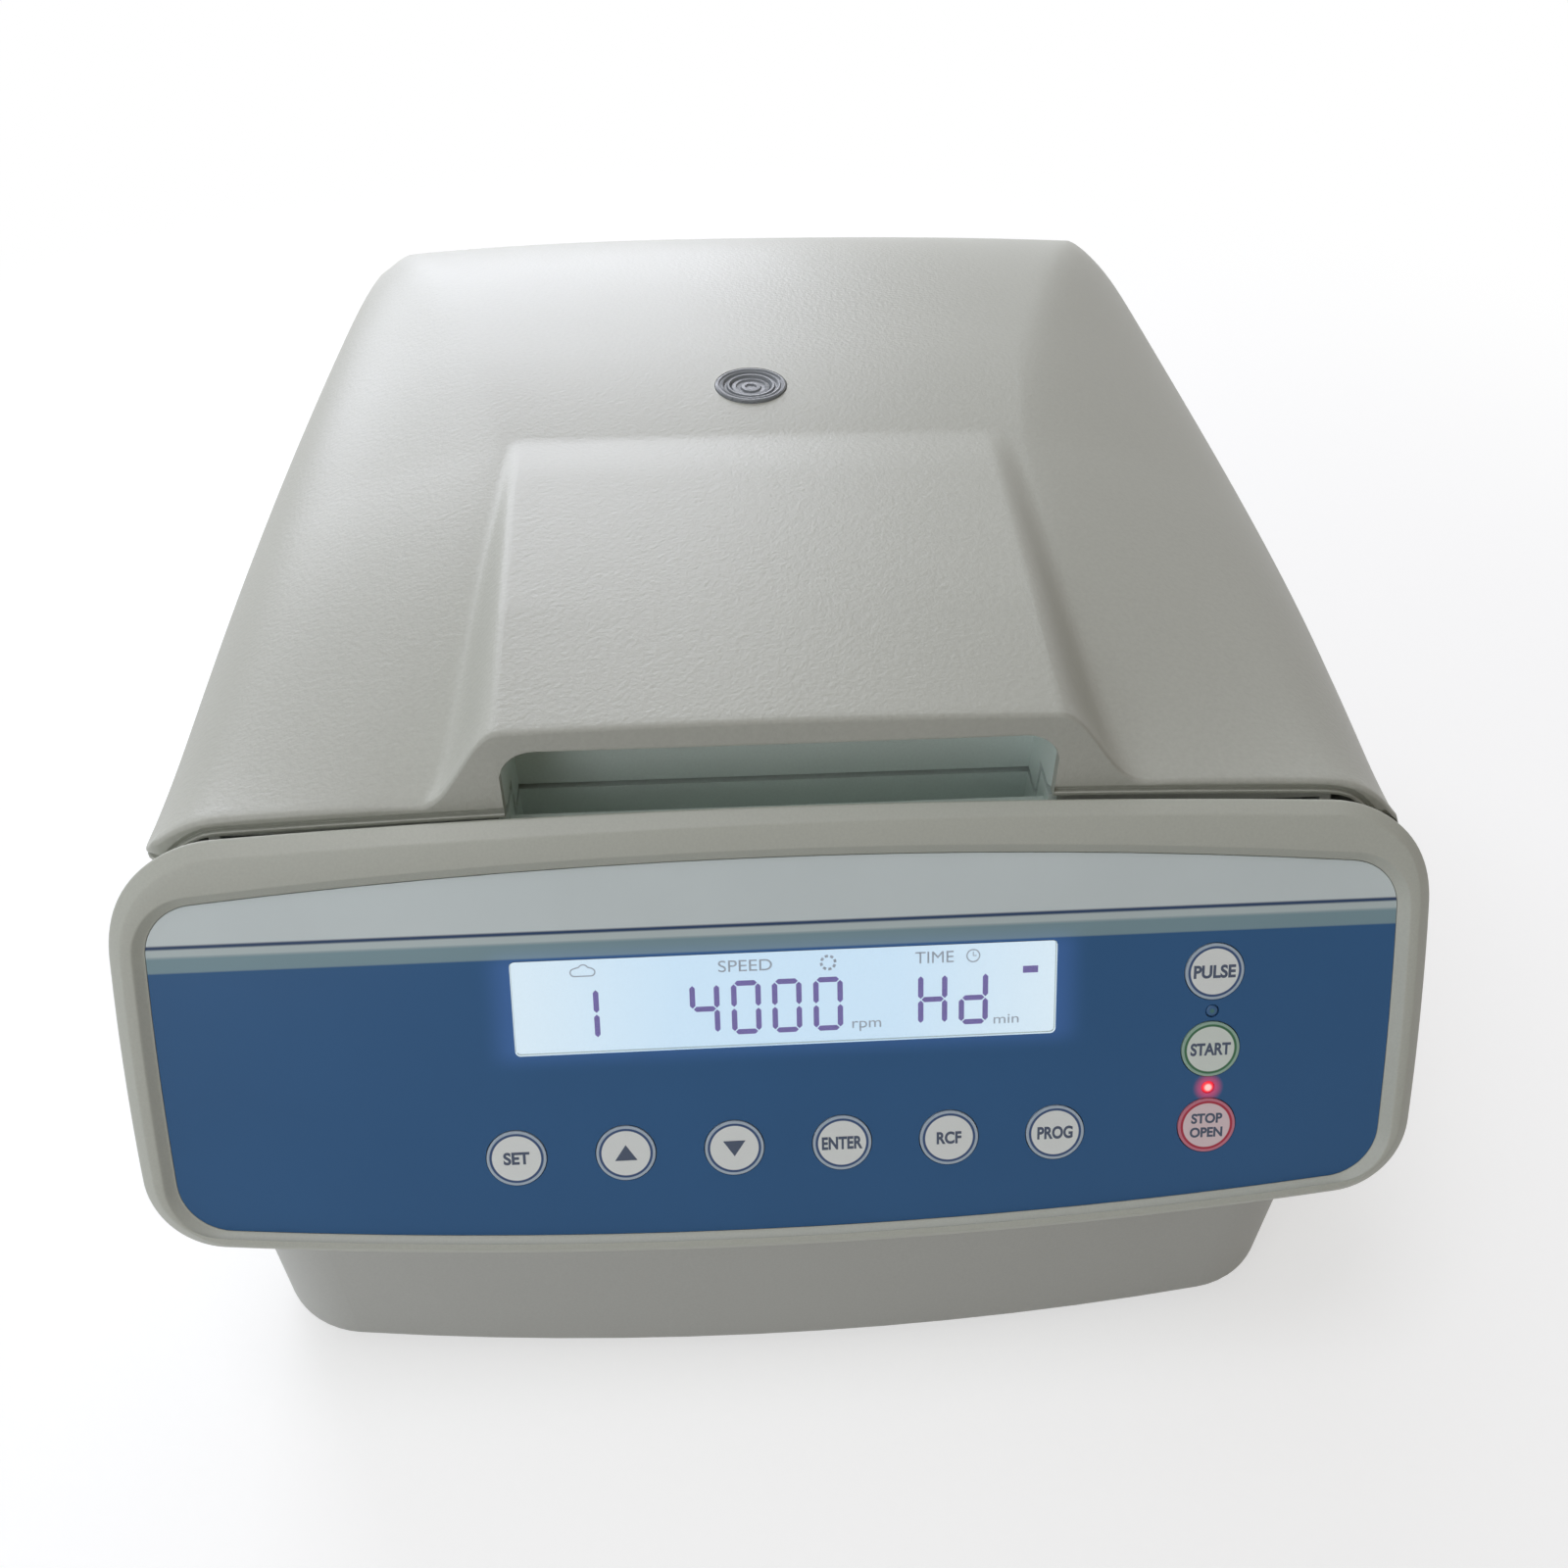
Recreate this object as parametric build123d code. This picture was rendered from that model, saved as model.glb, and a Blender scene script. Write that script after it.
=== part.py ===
"""Benchtop cytocentrifuge with a hinged lid, a leaning control panel and a six-place cyto rotor.

Millimetres, +Z up, +Y towards the back. The origin is on the bench, under the middle of the
machine. Every function returns one sub-part, and the list at the end writes each one to its
own file. The panel has its own plane: u runs across it, v up it and n out of its face.
"""
from build123d import *
import math
import os

# ---------------------------------------------------------------- the whole machine
WIDTH = 360.0             # across the bowed sides of the bezel
DEPTH = 466.0             # the bezel's foot to the lid's back edge
HEIGHT = 228.5            # bench to the crown of the lid
WALL = 3.0                # moulded walls
SHEET = 1.5               # pressed steel
CLEAR = 0.3               # between pieces of different bodies that pass each other
SEAT = 0.15               # around a piece that drops into its recess
RUNNING = 0.05            # radial, between a shaft or pin and its bearing

# ---------------------------------------------------------------- control panel
PANEL_TILT = 28.4         # degrees back from upright
BEZEL_FOOT_Z = 85.0       # lower edge of the bezel above the bench
BEZEL_TALL = 131.6
BEZEL_DEEP = 10.0
BEZEL_ROLL = 4.0
BEZEL_CORNER = 33.0       # upper corners
BEZEL_SIDE_BOW = 2.0
BEZEL_BORDER = 13.0       # solid border that meets the housing behind
OVERLAY_IN = 11.2         # overlay's side edge inside the bezel's widest
OVERLAY_LOW = 7.7         # v of the overlay's lower edge at the middle
OVERLAY_HIGH = 117.3
OVERLAY_THICK = 0.8
DISPLAY_WIDE = 148.3
DISPLAY_TALL = 27.2
DISPLAY_V = 77.2
KEY_R = 8.2
KEY_TRAVEL = 0.6
KEY_PROUD = 0.3
KEY_PITCH = 30.13
KEY_ROW_U = -75.9
KEY_ROW_V = 33.4
KEY_COLUMN_U = 118.2
KEY_COLUMN_V = {"stop": 33.4, "start": 56.7, "pulse": 79.8}
KEY_ROW = ["set", "up", "down", "enter", "rcf", "prog"]
LAMP_V = {"green": 68.0, "red": 44.9}
LAMP_R = 1.8
BOARD_THICK = 1.6
SWITCH_SIDE = 6.0

# ---------------------------------------------------------------- casing
FOOT_H = 6.0
FOOT_R = 11.0
FOOT_INSET = 45.0
BODY_IN = 11.5            # casing's side wall inside the bezel's widest
BODY_SIDE_BOW = 2.0
BODY_FRONT = 13.5         # front of the tray, behind the bezel's foot
BODY_FRONT_BOW = 11.9
BODY_FRONT_CORNER = 33.0
BODY_REAR_BOW = 1.0
BODY_REAR_CORNER = 20.0
TRAY_WALL = 2.5
TRAY_EDGE = 4.0           # rounded lower edge
DECK_Z = 180.5            # top of the deck
REAR_GAP = 28.0           # lid's back edge to the rear wall
LEDGE_Z = 194.0           # raised front ledge behind the bezel
LEDGE_IN = 16.5           # ledge's ends inside the casing's side walls
LEDGE_BACK = 80.0         # behind the bezel's foot
SCREW_HEAD_R = 3.4
SCREW_R = 1.6
VENT_SLOTS = 12
VENT_WIDE = 3.5
VENT_TALL = 34.0
VENT_PITCH = 8.0

# ---------------------------------------------------------------- lid
LID_FRONT = 66.0          # front lip, behind the bezel's foot
LID_IN = 10.0             # lid's front corners inside the bezel's widest
LID_SIDE_BOW = 6.0
LID_LOW_Z = 183.0
LID_LIP_Z = 200.3
LID_GAP = 1.3             # around the bezel's top
LID_FRONT_Z = 205.5       # top skin at the front edge
LID_PEAK = 0.54           # share of the lid's length where the crown is highest
LID_EDGE_Z = 187.0
PAD_Z = 226.5
PAD_TOP_HALF = (73.0, 79.0)     # front, rear
PAD_FOOT_HALF = (93.0, 83.0)
PAD_LONG = 156.0
LIFT_HALF = 73.0          # finger opening under the pad's rim
LIFT_TOP_Z = 218.5
LIFT_CORNER = 10.0
POCKET_BACK = 92.0        # back of the finger pocket, behind the bezel's foot
POCKET_WALL = 2.5
SCOOP_FLOOR_Z = 167.5
SCOOP_FRONT = 74.0
SCOOP_LIP_Z = 190.0       # top of the scoop's front wall
LINER_Z = 185.0
LINER_THICK = 2.5
LINER_EDGE = 4.5          # liner's edge inside the shell's wall
DOME_IN = 7.0             # dome's wall inside the bowl's
DOME_Z = 203.0
PORT_R = 12.5
PORT_RIM = 2.0
HINGE_BACK = 25.0         # pivot ahead of the lid's back edge
HINGE_Z = 190.0
HINGE_PIN_R = 3.0
HINGE_X = 118.0
HINGE_ARM_WIDE = 12.0
HINGE_EAR = 3.0
HINGE_EYE_R = 6.5
HINGE_ARM_LONG = 58.0
LINER_REAR_GAP = 10.0     # liner stops this far ahead of the pivot

# ---------------------------------------------------------------- chamber and drive
AXIS_BACK = 248.4         # rotor axis behind the bezel's foot
BOWL_R = 125.0            # outside
BOWL_FLOOR_Z = 88.0
BOWL_FLANGE = 10.0
BOWL_HOLE_GAP = 0.5       # bowl's hole around the motor's neck
GASKET_OUT = 6.0          # middle of the gasket outside the bowl's wall
GASKET_WIDE = 8.0
GASKET_TOP_Z = 184.7
GUARD_OUT = 6.3           # inside of the guard ring outside the bowl's wall
GUARD_WALL = 3.0
MOTOR_R = 44.0
MOTOR_LOW_Z = 34.0
MOTOR_HIGH_Z = 84.0
PLATE_SIDE = 150.0
PLATE_THICK = 4.0
SHAFT_R = 5.0
SHAFT_TOP_Z = 146.0
BEARING_R = 13.0
NECK_WALL = 6.0           # motor's neck around the upper bearing
BEARING_WIDE = 8.0

# ---------------------------------------------------------------- cyto rotor
STATIONS = 6
ROTOR_GAP = 17.0          # rotor's rim inside the bowl's outside
ROTOR_Z = 106.0           # top of the rotor's floor
ROTOR_THICK = 4.0
HUB_R = 17.0
HUB_TOP_Z = 132.0
CHEEK_TALL = 34.0
CHEEK_THICK = 3.0
CLIP_WIDE = 32.0
CLIP_TALL = 80.0
CLIP_THICK = 2.0
PIVOT_IN = 20.0           # clip pivots inside the rotor's rim
PIVOT_UP = 9.0            # above the rotor's floor
PIVOT_R = 2.0
CLIP_LEAN = 16.0          # degrees inwards at rest
CUP_R = 9.0
CUP_WALL = 1.5
CUP_TALL = 30.0
CUP_UP = 14.0             # cup's floor above the pivot
CUP_IN = 13.0             # cup's axis inwards of the pivot

# ---------------------------------------------------------------- lid lock
LOCK_X = 112.0
LOCK_BACK = 90.0          # hook shaft behind the bezel's foot
LOCK_SHAFT_Z = 150.0
LOCK_SHAFT_R = 3.0
STRIKER_AHEAD = 10.0      # striker behind the hook shaft
STRIKER_LOW_Z = 158.0
STRIKER_BAR = 3.5
LOCK_RIB_X = 98.0
LEVER_X = 88.0
LEVER_LONG = 19.0

# ---------------------------------------------------------------- rear fittings
INLET_X = -95.0
SWITCH_X = -45.0
REAR_FITTING_Z = 125.0
SWITCH_REST = 9.0         # degrees that the rocker leans at rest

# ================================================================ derived places
T_SIN = math.sin(math.radians(PANEL_TILT))
T_COS = math.cos(math.radians(PANEL_TILT))
FOOT_Y = -DEPTH / 2 - BEZEL_ROLL * (T_SIN + T_COS - 1)
PANEL = Plane(origin=(0, FOOT_Y, BEZEL_FOOT_Z), x_dir=(1, 0, 0), z_dir=(0, -T_COS, T_SIN))
OVERLAY_HALF = WIDTH / 2 - OVERLAY_IN
BODY_HALF = WIDTH / 2 - BODY_IN
LEDGE_HALF = BODY_HALF - LEDGE_IN
LID_HALF = WIDTH / 2 - LID_IN
LID_Y0 = FOOT_Y + LID_FRONT
LID_Y1 = DEPTH / 2
LID_LONG = LID_Y1 - LID_Y0
AXIS_Y = FOOT_Y + AXIS_BACK
HINGE_Y = LID_Y1 - HINGE_BACK
REAR_Y = LID_Y1 - REAR_GAP
DOME_R = BOWL_R - DOME_IN
GASKET_R = BOWL_R + GASKET_OUT
GUARD_R = BOWL_R + GUARD_OUT
ROTOR_R = BOWL_R - ROTOR_GAP
PIVOT_FROM_AXIS = ROTOR_R - PIVOT_IN
POCKET_Y = FOOT_Y + POCKET_BACK
LOCK_Y = FOOT_Y + LOCK_BACK
STRIKER_Y = LOCK_Y + STRIKER_AHEAD
PLATE_BACK_N = -(OVERLAY_THICK + 2.5)           # back of the bezel's front plate
KEY_FLANGE_N = PLATE_BACK_N - CLEAR             # front of a key's flange
KEY_FLANGE_THICK = 0.8
SWITCH_TOP_N = KEY_FLANGE_N - KEY_FLANGE_THICK - KEY_TRAVEL - 0.1
BOARD_N = SWITCH_TOP_N - 3.5                    # front of the control board
TRAY_FLOOR_Z = FOOT_H + TRAY_WALL
KEYS = {name: (KEY_ROW_U + i * KEY_PITCH, KEY_ROW_V) for i, name in enumerate(KEY_ROW)}
KEYS.update({name: (KEY_COLUMN_U, v) for name, v in KEY_COLUMN_V.items()})


# ================================================================ helpers
def bowed_face(half, side_bow, low, low_bow, high, high_bow, low_corner, high_corner, inset=0.0):
    """A face with four gently bowed sides and rounded corners, symmetric about x = 0."""
    half -= inset
    low += inset
    high -= inset
    low_corner -= inset
    high_corner -= inset
    y_low = low + low_bow
    y_high = high - high_bow
    mid = (y_low + y_high) / 2
    edges = [
        ThreePointArc((-half, y_low), (0, low), (half, y_low)),
        ThreePointArc((half, y_low), (half + side_bow, mid), (half, y_high)),
        ThreePointArc((half, y_high), (0, high), (-half, y_high)),
        ThreePointArc((-half, y_high), (-half - side_bow, mid), (-half, y_low)),
    ]
    face = make_face(edges)
    corners = face.vertices().sort_by(Axis.Y)
    face = fillet(corners[:2], low_corner)
    corners = face.vertices().sort_by(Axis.Y)
    return fillet(corners[-2:], high_corner)


def slab(face, z0, z1):
    """The face, drawn on the ground plane, extruded between two heights."""
    return Pos(0, 0, z0) * extrude(face, amount=z1 - z0)


def block(x, y, z):
    """A box given by its (low, high) pairs."""
    size = (x[1] - x[0], y[1] - y[0], z[1] - z[0])
    return Pos((x[0] + x[1]) / 2, (y[0] + y[1]) / 2, (z[0] + z[1]) / 2) * Box(*size)


def post(x, y, z0, z1, radius):
    """An upright cylinder."""
    return Pos(x, y, (z0 + z1) / 2) * Cylinder(radius, z1 - z0)


def tube(x, y, z0, z1, inside, outside):
    """An upright ring."""
    return post(x, y, z0, z1, outside) - post(x, y, z0 - 1, z1 + 1, inside)


def rod_x(x0, x1, y, z, radius):
    """A cylinder along X."""
    return Pos((x0 + x1) / 2, y, z) * Rot(0, 90, 0) * Cylinder(radius, x1 - x0)


def on_panel(shape):
    """Put a shape drawn in u, v, n onto the leaning panel."""
    return PANEL.location * shape


def panel_slab(face, n0, n1):
    """The face, drawn in u and v, between two heights above the panel's face."""
    return on_panel(Pos(0, 0, n0) * extrude(face, amount=n1 - n0))


def panel_disc(u, v, n0, n1, radius):
    """A disc on the panel."""
    return on_panel(Pos(u, v, (n0 + n1) / 2) * Cylinder(radius, n1 - n0))


def behind_panel(depth):
    """Everything behind the plane that lies this far behind the panel's face."""
    reach = 1000.0
    return on_panel(Pos(0, 0, -depth - reach / 2) * Box(reach, reach, reach))


# ================================================================ outlines
def bezel_face(inset=0.0):
    """The bezel's outline in u and v."""
    return bowed_face(WIDTH / 2 - BEZEL_SIDE_BOW, BEZEL_SIDE_BOW, 0, 10.6, BEZEL_TALL, 4.7, 24,
                      BEZEL_CORNER, inset)


def overlay_face(grow=0.0):
    """The printed overlay's outline in u and v."""
    return bowed_face(OVERLAY_HALF - 1.0, 1.0, OVERLAY_LOW, 9.2, OVERLAY_HIGH, 8.3, 15, 14, -grow)


def display_face(grow=0.0):
    """The display window's outline in u and v."""
    width = DISPLAY_WIDE + 2 * grow
    return Pos(0, DISPLAY_V) * RectangleRounded(width, DISPLAY_TALL + 2 * grow, 1.5 + grow)


def body_face(inset=0.0):
    """The casing's outline in plan."""
    return bowed_face(BODY_HALF, BODY_SIDE_BOW, FOOT_Y + BODY_FRONT, BODY_FRONT_BOW,
                      REAR_Y, BODY_REAR_BOW, BODY_FRONT_CORNER, BODY_REAR_CORNER, inset)


def lid_face(inset=0.0):
    """The lid's outline in plan."""
    return bowed_face(LID_HALF, LID_SIDE_BOW, LID_Y0, 1.0, LID_Y1, 6.0, 6, 20, inset)


def crown_z(x, y):
    """Height of the lid's top skin: a long crown whose sides fall away outside a soft ridge, and whose
    front corners come down with the bezel's."""
    s = min(max((y - LID_Y0) / LID_LONG, 0.0), 1.0)
    if s < LID_PEAK:
        top = HEIGHT - (HEIGHT - LID_FRONT_Z) * ((LID_PEAK - s) / LID_PEAK) ** 1.8
    else:
        top = HEIGHT - 38.6 * ((s - LID_PEAK) / (1 - LID_PEAK)) ** 3.25
    ridge = 86 + 80 * max(0.0, (s - 0.36) / 0.64) ** 1.3
    edge = LID_HALF + LID_SIDE_BOW * (1 - (2 * s - 1) ** 2)
    fall = max(0.0, (abs(x) - ridge) / (edge - ridge))
    edge_z = min(LID_EDGE_Z + 14.0 * math.exp(-12 * s), top)
    corner = min(max(0.0, abs(x) - (WIDTH / 2 - BEZEL_SIDE_BOW - BEZEL_CORNER)), 0.82 * BEZEL_CORNER)
    drop = (BEZEL_CORNER - math.sqrt(BEZEL_CORNER ** 2 - corner ** 2)) / T_COS
    return top - (top - edge_z) * fall ** 1.7 - drop * math.exp(-LID_LONG * s / 45)


def crown_cutter(lower):
    """Everything above the lid's top skin, moved down by a distance."""
    half = LID_HALF + LID_SIDE_BOW + 4
    xs = [half * (i / 18 - 1) for i in range(37)]
    ys = [LID_Y0 - 4 + (LID_LONG + 8) * j / 28 for j in range(29)]
    grid = [[Vector(x, y, crown_z(x, y) - lower) for x in xs] for y in ys]
    skin = Face.make_surface_from_array_of_points(grid, tol=0.05)
    return extrude(skin, amount=120, dir=(0, 0, 1))


def pad_block(inset=0.0):
    """The raised wedge at the lid's front: a loft from its rim back to where it dies out."""
    high = PAD_Z - inset
    sections = []
    for y, top, foot in ((LID_Y0 + inset, PAD_TOP_HALF[0], PAD_FOOT_HALF[0]),
                         (LID_Y0 + PAD_LONG, PAD_TOP_HALF[1], PAD_FOOT_HALF[1])):
        low = LID_LOW_Z + WALL
        points = [(-foot + inset, low), (foot - inset, low), (foot - inset, crown_z(foot, y) - inset),
                  (top - inset, high), (inset - top, high), (inset - foot, crown_z(foot, y) - inset)]
        plane = Plane(origin=(0, y, 0), x_dir=(1, 0, 0), z_dir=(0, -1, 0))
        sections.append(plane * make_face(Polyline(*points, close=True)))
    return loft(sections, ruled=True)


def bezel_room():
    """The bezel grown by the lid's gap, which the closed lid stays out of."""
    return panel_slab(bezel_face(-LID_GAP), -BEZEL_DEEP - LID_GAP, LID_GAP)


def lift_face(grow=0.0):
    """The finger opening in x and z: a wide arch with rounded upper corners."""
    half = LIFT_HALF + grow
    high = LIFT_TOP_Z + grow
    face = make_face(Polyline((-half, LINER_Z - 10), (half, LINER_Z - 10), (half, high), (-half, high),
                              close=True))
    return fillet(face.vertices().sort_by(Axis.Y)[-2:], LIFT_CORNER + grow)


def lift_slab(face, y0, y1):
    """The face, drawn in x and z, between two depths."""
    plane = Plane(origin=(0, y1, 0), x_dir=(1, 0, 0), z_dir=(0, -1, 0))
    return plane * extrude(face, amount=y1 - y0)


# ================================================================ control panel
def front_bezel():
    solid = Pos(0, 0, -BEZEL_DEEP) * extrude(bezel_face(), amount=BEZEL_DEEP)
    solid = fillet(solid.edges().group_by(Axis.Z)[-1], BEZEL_ROLL)
    solid = on_panel(solid)
    solid -= panel_slab(overlay_face(SEAT), -OVERLAY_THICK, 1)
    solid -= panel_slab(bezel_face(BEZEL_BORDER), -BEZEL_DEEP - 1, PLATE_BACK_N)
    solid -= panel_slab(display_face(SEAT), -BEZEL_DEEP, 1)
    for u, v in KEYS.values():
        solid -= panel_disc(u, v, -BEZEL_DEEP, 1, KEY_R + CLEAR)
    for v in LAMP_V.values():
        solid -= panel_disc(KEY_COLUMN_U, v, -BEZEL_DEEP, 1, LAMP_R + SEAT)
    for u, v in ((-98, 27), (-98, 87), (132, 27), (132, 87), (14.5, 51)):
        solid += panel_disc(u, v, BOARD_N, PLATE_BACK_N + 0.5, 3.5)
    return solid


def membrane_overlay():
    solid = panel_slab(overlay_face(), -OVERLAY_THICK, 0)
    solid -= panel_slab(display_face(SEAT), -BEZEL_DEEP, 1)
    for u, v in KEYS.values():
        solid -= panel_disc(u, v, -BEZEL_DEEP, 1, KEY_R + CLEAR)
    for v in LAMP_V.values():
        solid -= panel_disc(KEY_COLUMN_U, v, -BEZEL_DEEP, 1, LAMP_R + SEAT)
    return solid


def display_window():
    return panel_slab(display_face(), -1.2, 0)


def display_module():
    """The lit glass, with its wider frame and back light behind the bezel's plate."""
    glass = panel_slab(display_face(-CLEAR), PLATE_BACK_N - SEAT, -1.2 - SEAT)
    frame = Pos(0, DISPLAY_V, (BOARD_N + PLATE_BACK_N - SEAT) / 2) * Box(
        DISPLAY_WIDE + 8, DISPLAY_TALL + 7, PLATE_BACK_N - SEAT - BOARD_N)
    return glass + on_panel(frame)


def key_cap(name):
    """A key: a disc in the overlay with a wider flange that stops behind the bezel's plate."""
    u, v = KEYS[name]
    cap = panel_disc(u, v, KEY_FLANGE_N, KEY_PROUD, KEY_R)
    return cap + panel_disc(u, v, KEY_FLANGE_N - KEY_FLANGE_THICK, KEY_FLANGE_N, KEY_R + 0.9)


def control_board():
    board = Pos(16.5, 57, BOARD_N - BOARD_THICK / 2) * Box(243, 70, BOARD_THICK)
    chips = Pos(-60, 50, BOARD_N - BOARD_THICK - 1) * Box(14, 14, 2)
    chips += Pos(0, 50, BOARD_N - BOARD_THICK - 1) * Box(22, 10, 2)
    header = Pos(60, 50, BOARD_N - BOARD_THICK - 4) * Box(32, 8, 8)
    return on_panel(board + chips + header)


def key_switches():
    """One tact switch under each key."""
    switches = []
    for u, v in KEYS.values():
        base = Pos(u, v, BOARD_N + 1.25) * Box(SWITCH_SIDE, SWITCH_SIDE, 2.5)
        stem = Pos(u, v, (BOARD_N + 2.5 + SWITCH_TOP_N) / 2) * Cylinder(1.75, SWITCH_TOP_N - BOARD_N - 2.5)
        switches.append(on_panel(base + stem))
    return switches


def status_lamps():
    """The two indicator lamps: domed rods from the board up to the overlay's face."""
    lamps = []
    for v in LAMP_V.values():
        rod = Pos(0, 0, BOARD_N / 2) * Cylinder(LAMP_R, -BOARD_N)
        lamps.append(on_panel(Pos(KEY_COLUMN_U, v, 0) * fillet(rod.edges().sort_by(Axis.Z)[-1], 0.8)))
    return lamps


# ================================================================ casing
def base_tray():
    """The lower shell: front, sides and floor in one moulding."""
    outer = slab(body_face(), FOOT_H, BEZEL_FOOT_Z)
    outer = fillet(outer.edges().group_by(Axis.Z)[0], TRAY_EDGE)
    inner = slab(body_face(TRAY_WALL), TRAY_FLOOR_Z, BEZEL_FOOT_Z + 1)
    inner = fillet(inner.edges().group_by(Axis.Z)[0], TRAY_EDGE - TRAY_WALL)
    solid = outer - inner
    for i in range(8):
        slot = Pos(30, 0, TRAY_FLOOR_Z) * Box(26, 4, 4 * TRAY_WALL)
        solid -= Pos(0, AXIS_Y, 0) * Rot(0, 0, 45 * i) * slot
    return solid


def screw_places():
    """Where screws hold the rear wall: x and z."""
    return [(side * x, z) for side in (-1, 1) for x, z in ((150, 97), (150, 168), (68, 168))]


def main_housing():
    """The upper shell: side and rear walls, the deck with the chamber's hole and the front ledge."""
    behind = behind_panel(BEZEL_DEEP)
    outer = slab(body_face(), BEZEL_FOOT_Z, DECK_Z) & behind
    ledge = block((-LEDGE_HALF, LEDGE_HALF), (FOOT_Y, FOOT_Y + LEDGE_BACK), (DECK_Z - WALL, LEDGE_Z)) & behind
    inner = slab(body_face(WALL), BEZEL_FOOT_Z - 1, DECK_Z - WALL)
    ledge_room = block((WALL - LEDGE_HALF, LEDGE_HALF - WALL), (FOOT_Y, FOOT_Y + LEDGE_BACK - WALL),
                       (DECK_Z - 2 * WALL, LEDGE_Z - WALL))
    solid = outer + ledge - inner - ledge_room
    solid -= block((-LEDGE_HALF, LEDGE_HALF), (FOOT_Y, FOOT_Y + BODY_FRONT + 2 * BODY_FRONT_BOW),
                   (BEZEL_FOOT_Z - 1, DECK_Z - WALL))
    for side in (-1, 1):
        x = side * LOCK_RIB_X
        rib = block((x - 2, x + 2), (LOCK_Y - 8, LOCK_Y + 6), (LOCK_SHAFT_Z - 6, DECK_Z - WALL))
        solid += rib - rod_x(x - 3, x + 3, LOCK_Y, LOCK_SHAFT_Z, LOCK_SHAFT_R + RUNNING)
        x = side * LOCK_X
        solid -= block((x - 9.5, x + 9.5), (STRIKER_Y - 7, STRIKER_Y + 4), (DECK_Z - 2 * WALL, DECK_Z + 1))
    scoop = POCKET_WALL + SEAT
    solid -= block((-LIFT_HALF - scoop, LIFT_HALF + scoop), (FOOT_Y, POCKET_Y + scoop),
                   (SCOOP_FLOOR_Z - 10, LEDGE_Z + 1))
    solid -= post(0, AXIS_Y, DECK_Z - 2 * WALL, DECK_Z + 1, BOWL_R + 0.5)
    for i in range(VENT_SLOTS):
        x = 30 + i * VENT_PITCH
        solid -= block((x, x + VENT_WIDE), (REAR_Y - 2 * WALL, REAR_Y + 1),
                       (REAR_FITTING_Z - VENT_TALL / 2, REAR_FITTING_Z + VENT_TALL / 2))
    solid -= block((INLET_X - 14.2, INLET_X + 14.2), (REAR_Y - 2 * WALL, REAR_Y + 1),
                   (REAR_FITTING_Z - 10.2, REAR_FITTING_Z + 10.2))
    solid -= block((SWITCH_X - 10.2, SWITCH_X + 10.2), (REAR_Y - 2 * WALL, REAR_Y + 1),
                   (REAR_FITTING_Z - 14.2, REAR_FITTING_Z + 14.2))
    for x, z in screw_places():
        solid -= Pos(x, REAR_Y, z) * Rot(90, 0, 0) * Cylinder(SCREW_R, 4 * WALL)
    return solid


def finger_scoop():
    """The lower half of the finger recess, let into the deck and the ledge."""
    x = LIFT_HALF + POCKET_WALL
    outer = block((-x, x), (FOOT_Y, POCKET_Y + POCKET_WALL), (SCOOP_FLOOR_Z - POCKET_WALL, LEDGE_Z))
    outer &= behind_panel(BEZEL_DEEP)
    cavity = block((-LIFT_HALF, LIFT_HALF), (FOOT_Y + SCOOP_FRONT, POCKET_Y), (SCOOP_FLOOR_Z, LEDGE_Z + 1))
    low = cavity.edges().filter_by(Axis.X).sort_by(Axis.Z)[:2]
    cavity = fillet(low, 5)
    solid = outer - cavity
    solid -= block((-LIFT_HALF, LIFT_HALF), (FOOT_Y, FOOT_Y + SCOOP_FRONT + 1), (SCOOP_LIP_Z, LEDGE_Z + 1))
    return solid - block((-x - 1, x + 1), (FOOT_Y + LEDGE_BACK, POCKET_Y + 2 * POCKET_WALL),
                         (LINER_Z - 2, LEDGE_Z + 1))


def rubber_feet():
    places = [(side * (BODY_HALF - FOOT_INSET), y) for side in (-1, 1)
              for y in (FOOT_Y + BODY_FRONT + FOOT_INSET, REAR_Y - FOOT_INSET)]
    foot = Pos(0, 0, FOOT_H / 2) * Cylinder(FOOT_R, FOOT_H)
    foot = fillet(foot.edges().sort_by(Axis.Z)[0], 1.5)
    return [Pos(x, y, 0) * foot for x, y in places]


def case_screws():
    """Pan-headed screws through the rear wall."""
    head = Pos(0, 0, 1) * Cylinder(SCREW_HEAD_R, 2)
    head = fillet(head.edges().sort_by(Axis.Z)[-1], 1.2) + Pos(0, 0, -5) * Cylinder(SCREW_R - 0.1, 10)
    return [Pos(x, REAR_Y, z) * Rot(-90, 0, 0) * head for x, z in screw_places()]


# ================================================================ lid
def lid_shell():
    """The outer cover: a crowned shell with the raised pad, the finger opening and the front lip."""
    outer = slab(lid_face(), LID_LOW_Z, HEIGHT + 10) - crown_cutter(0) + pad_block()
    inner = slab(lid_face(WALL), LID_LOW_Z - 1, HEIGHT + 10) - crown_cutter(WALL) + pad_block(WALL)
    solid = outer - inner
    solid -= block((-LEDGE_HALF - 2, LEDGE_HALF + 2), (LID_Y0 - 1, LID_Y0 + 2 * WALL),
                   (LID_LOW_Z - 1, LID_LIP_Z))
    solid -= lift_slab(lift_face(), LID_Y0 - 5, LID_Y0 + 3 * WALL)
    solid -= bezel_room()
    return solid - post(0, AXIS_Y, DOME_Z, HEIGHT + 5, PORT_R + SEAT)


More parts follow.
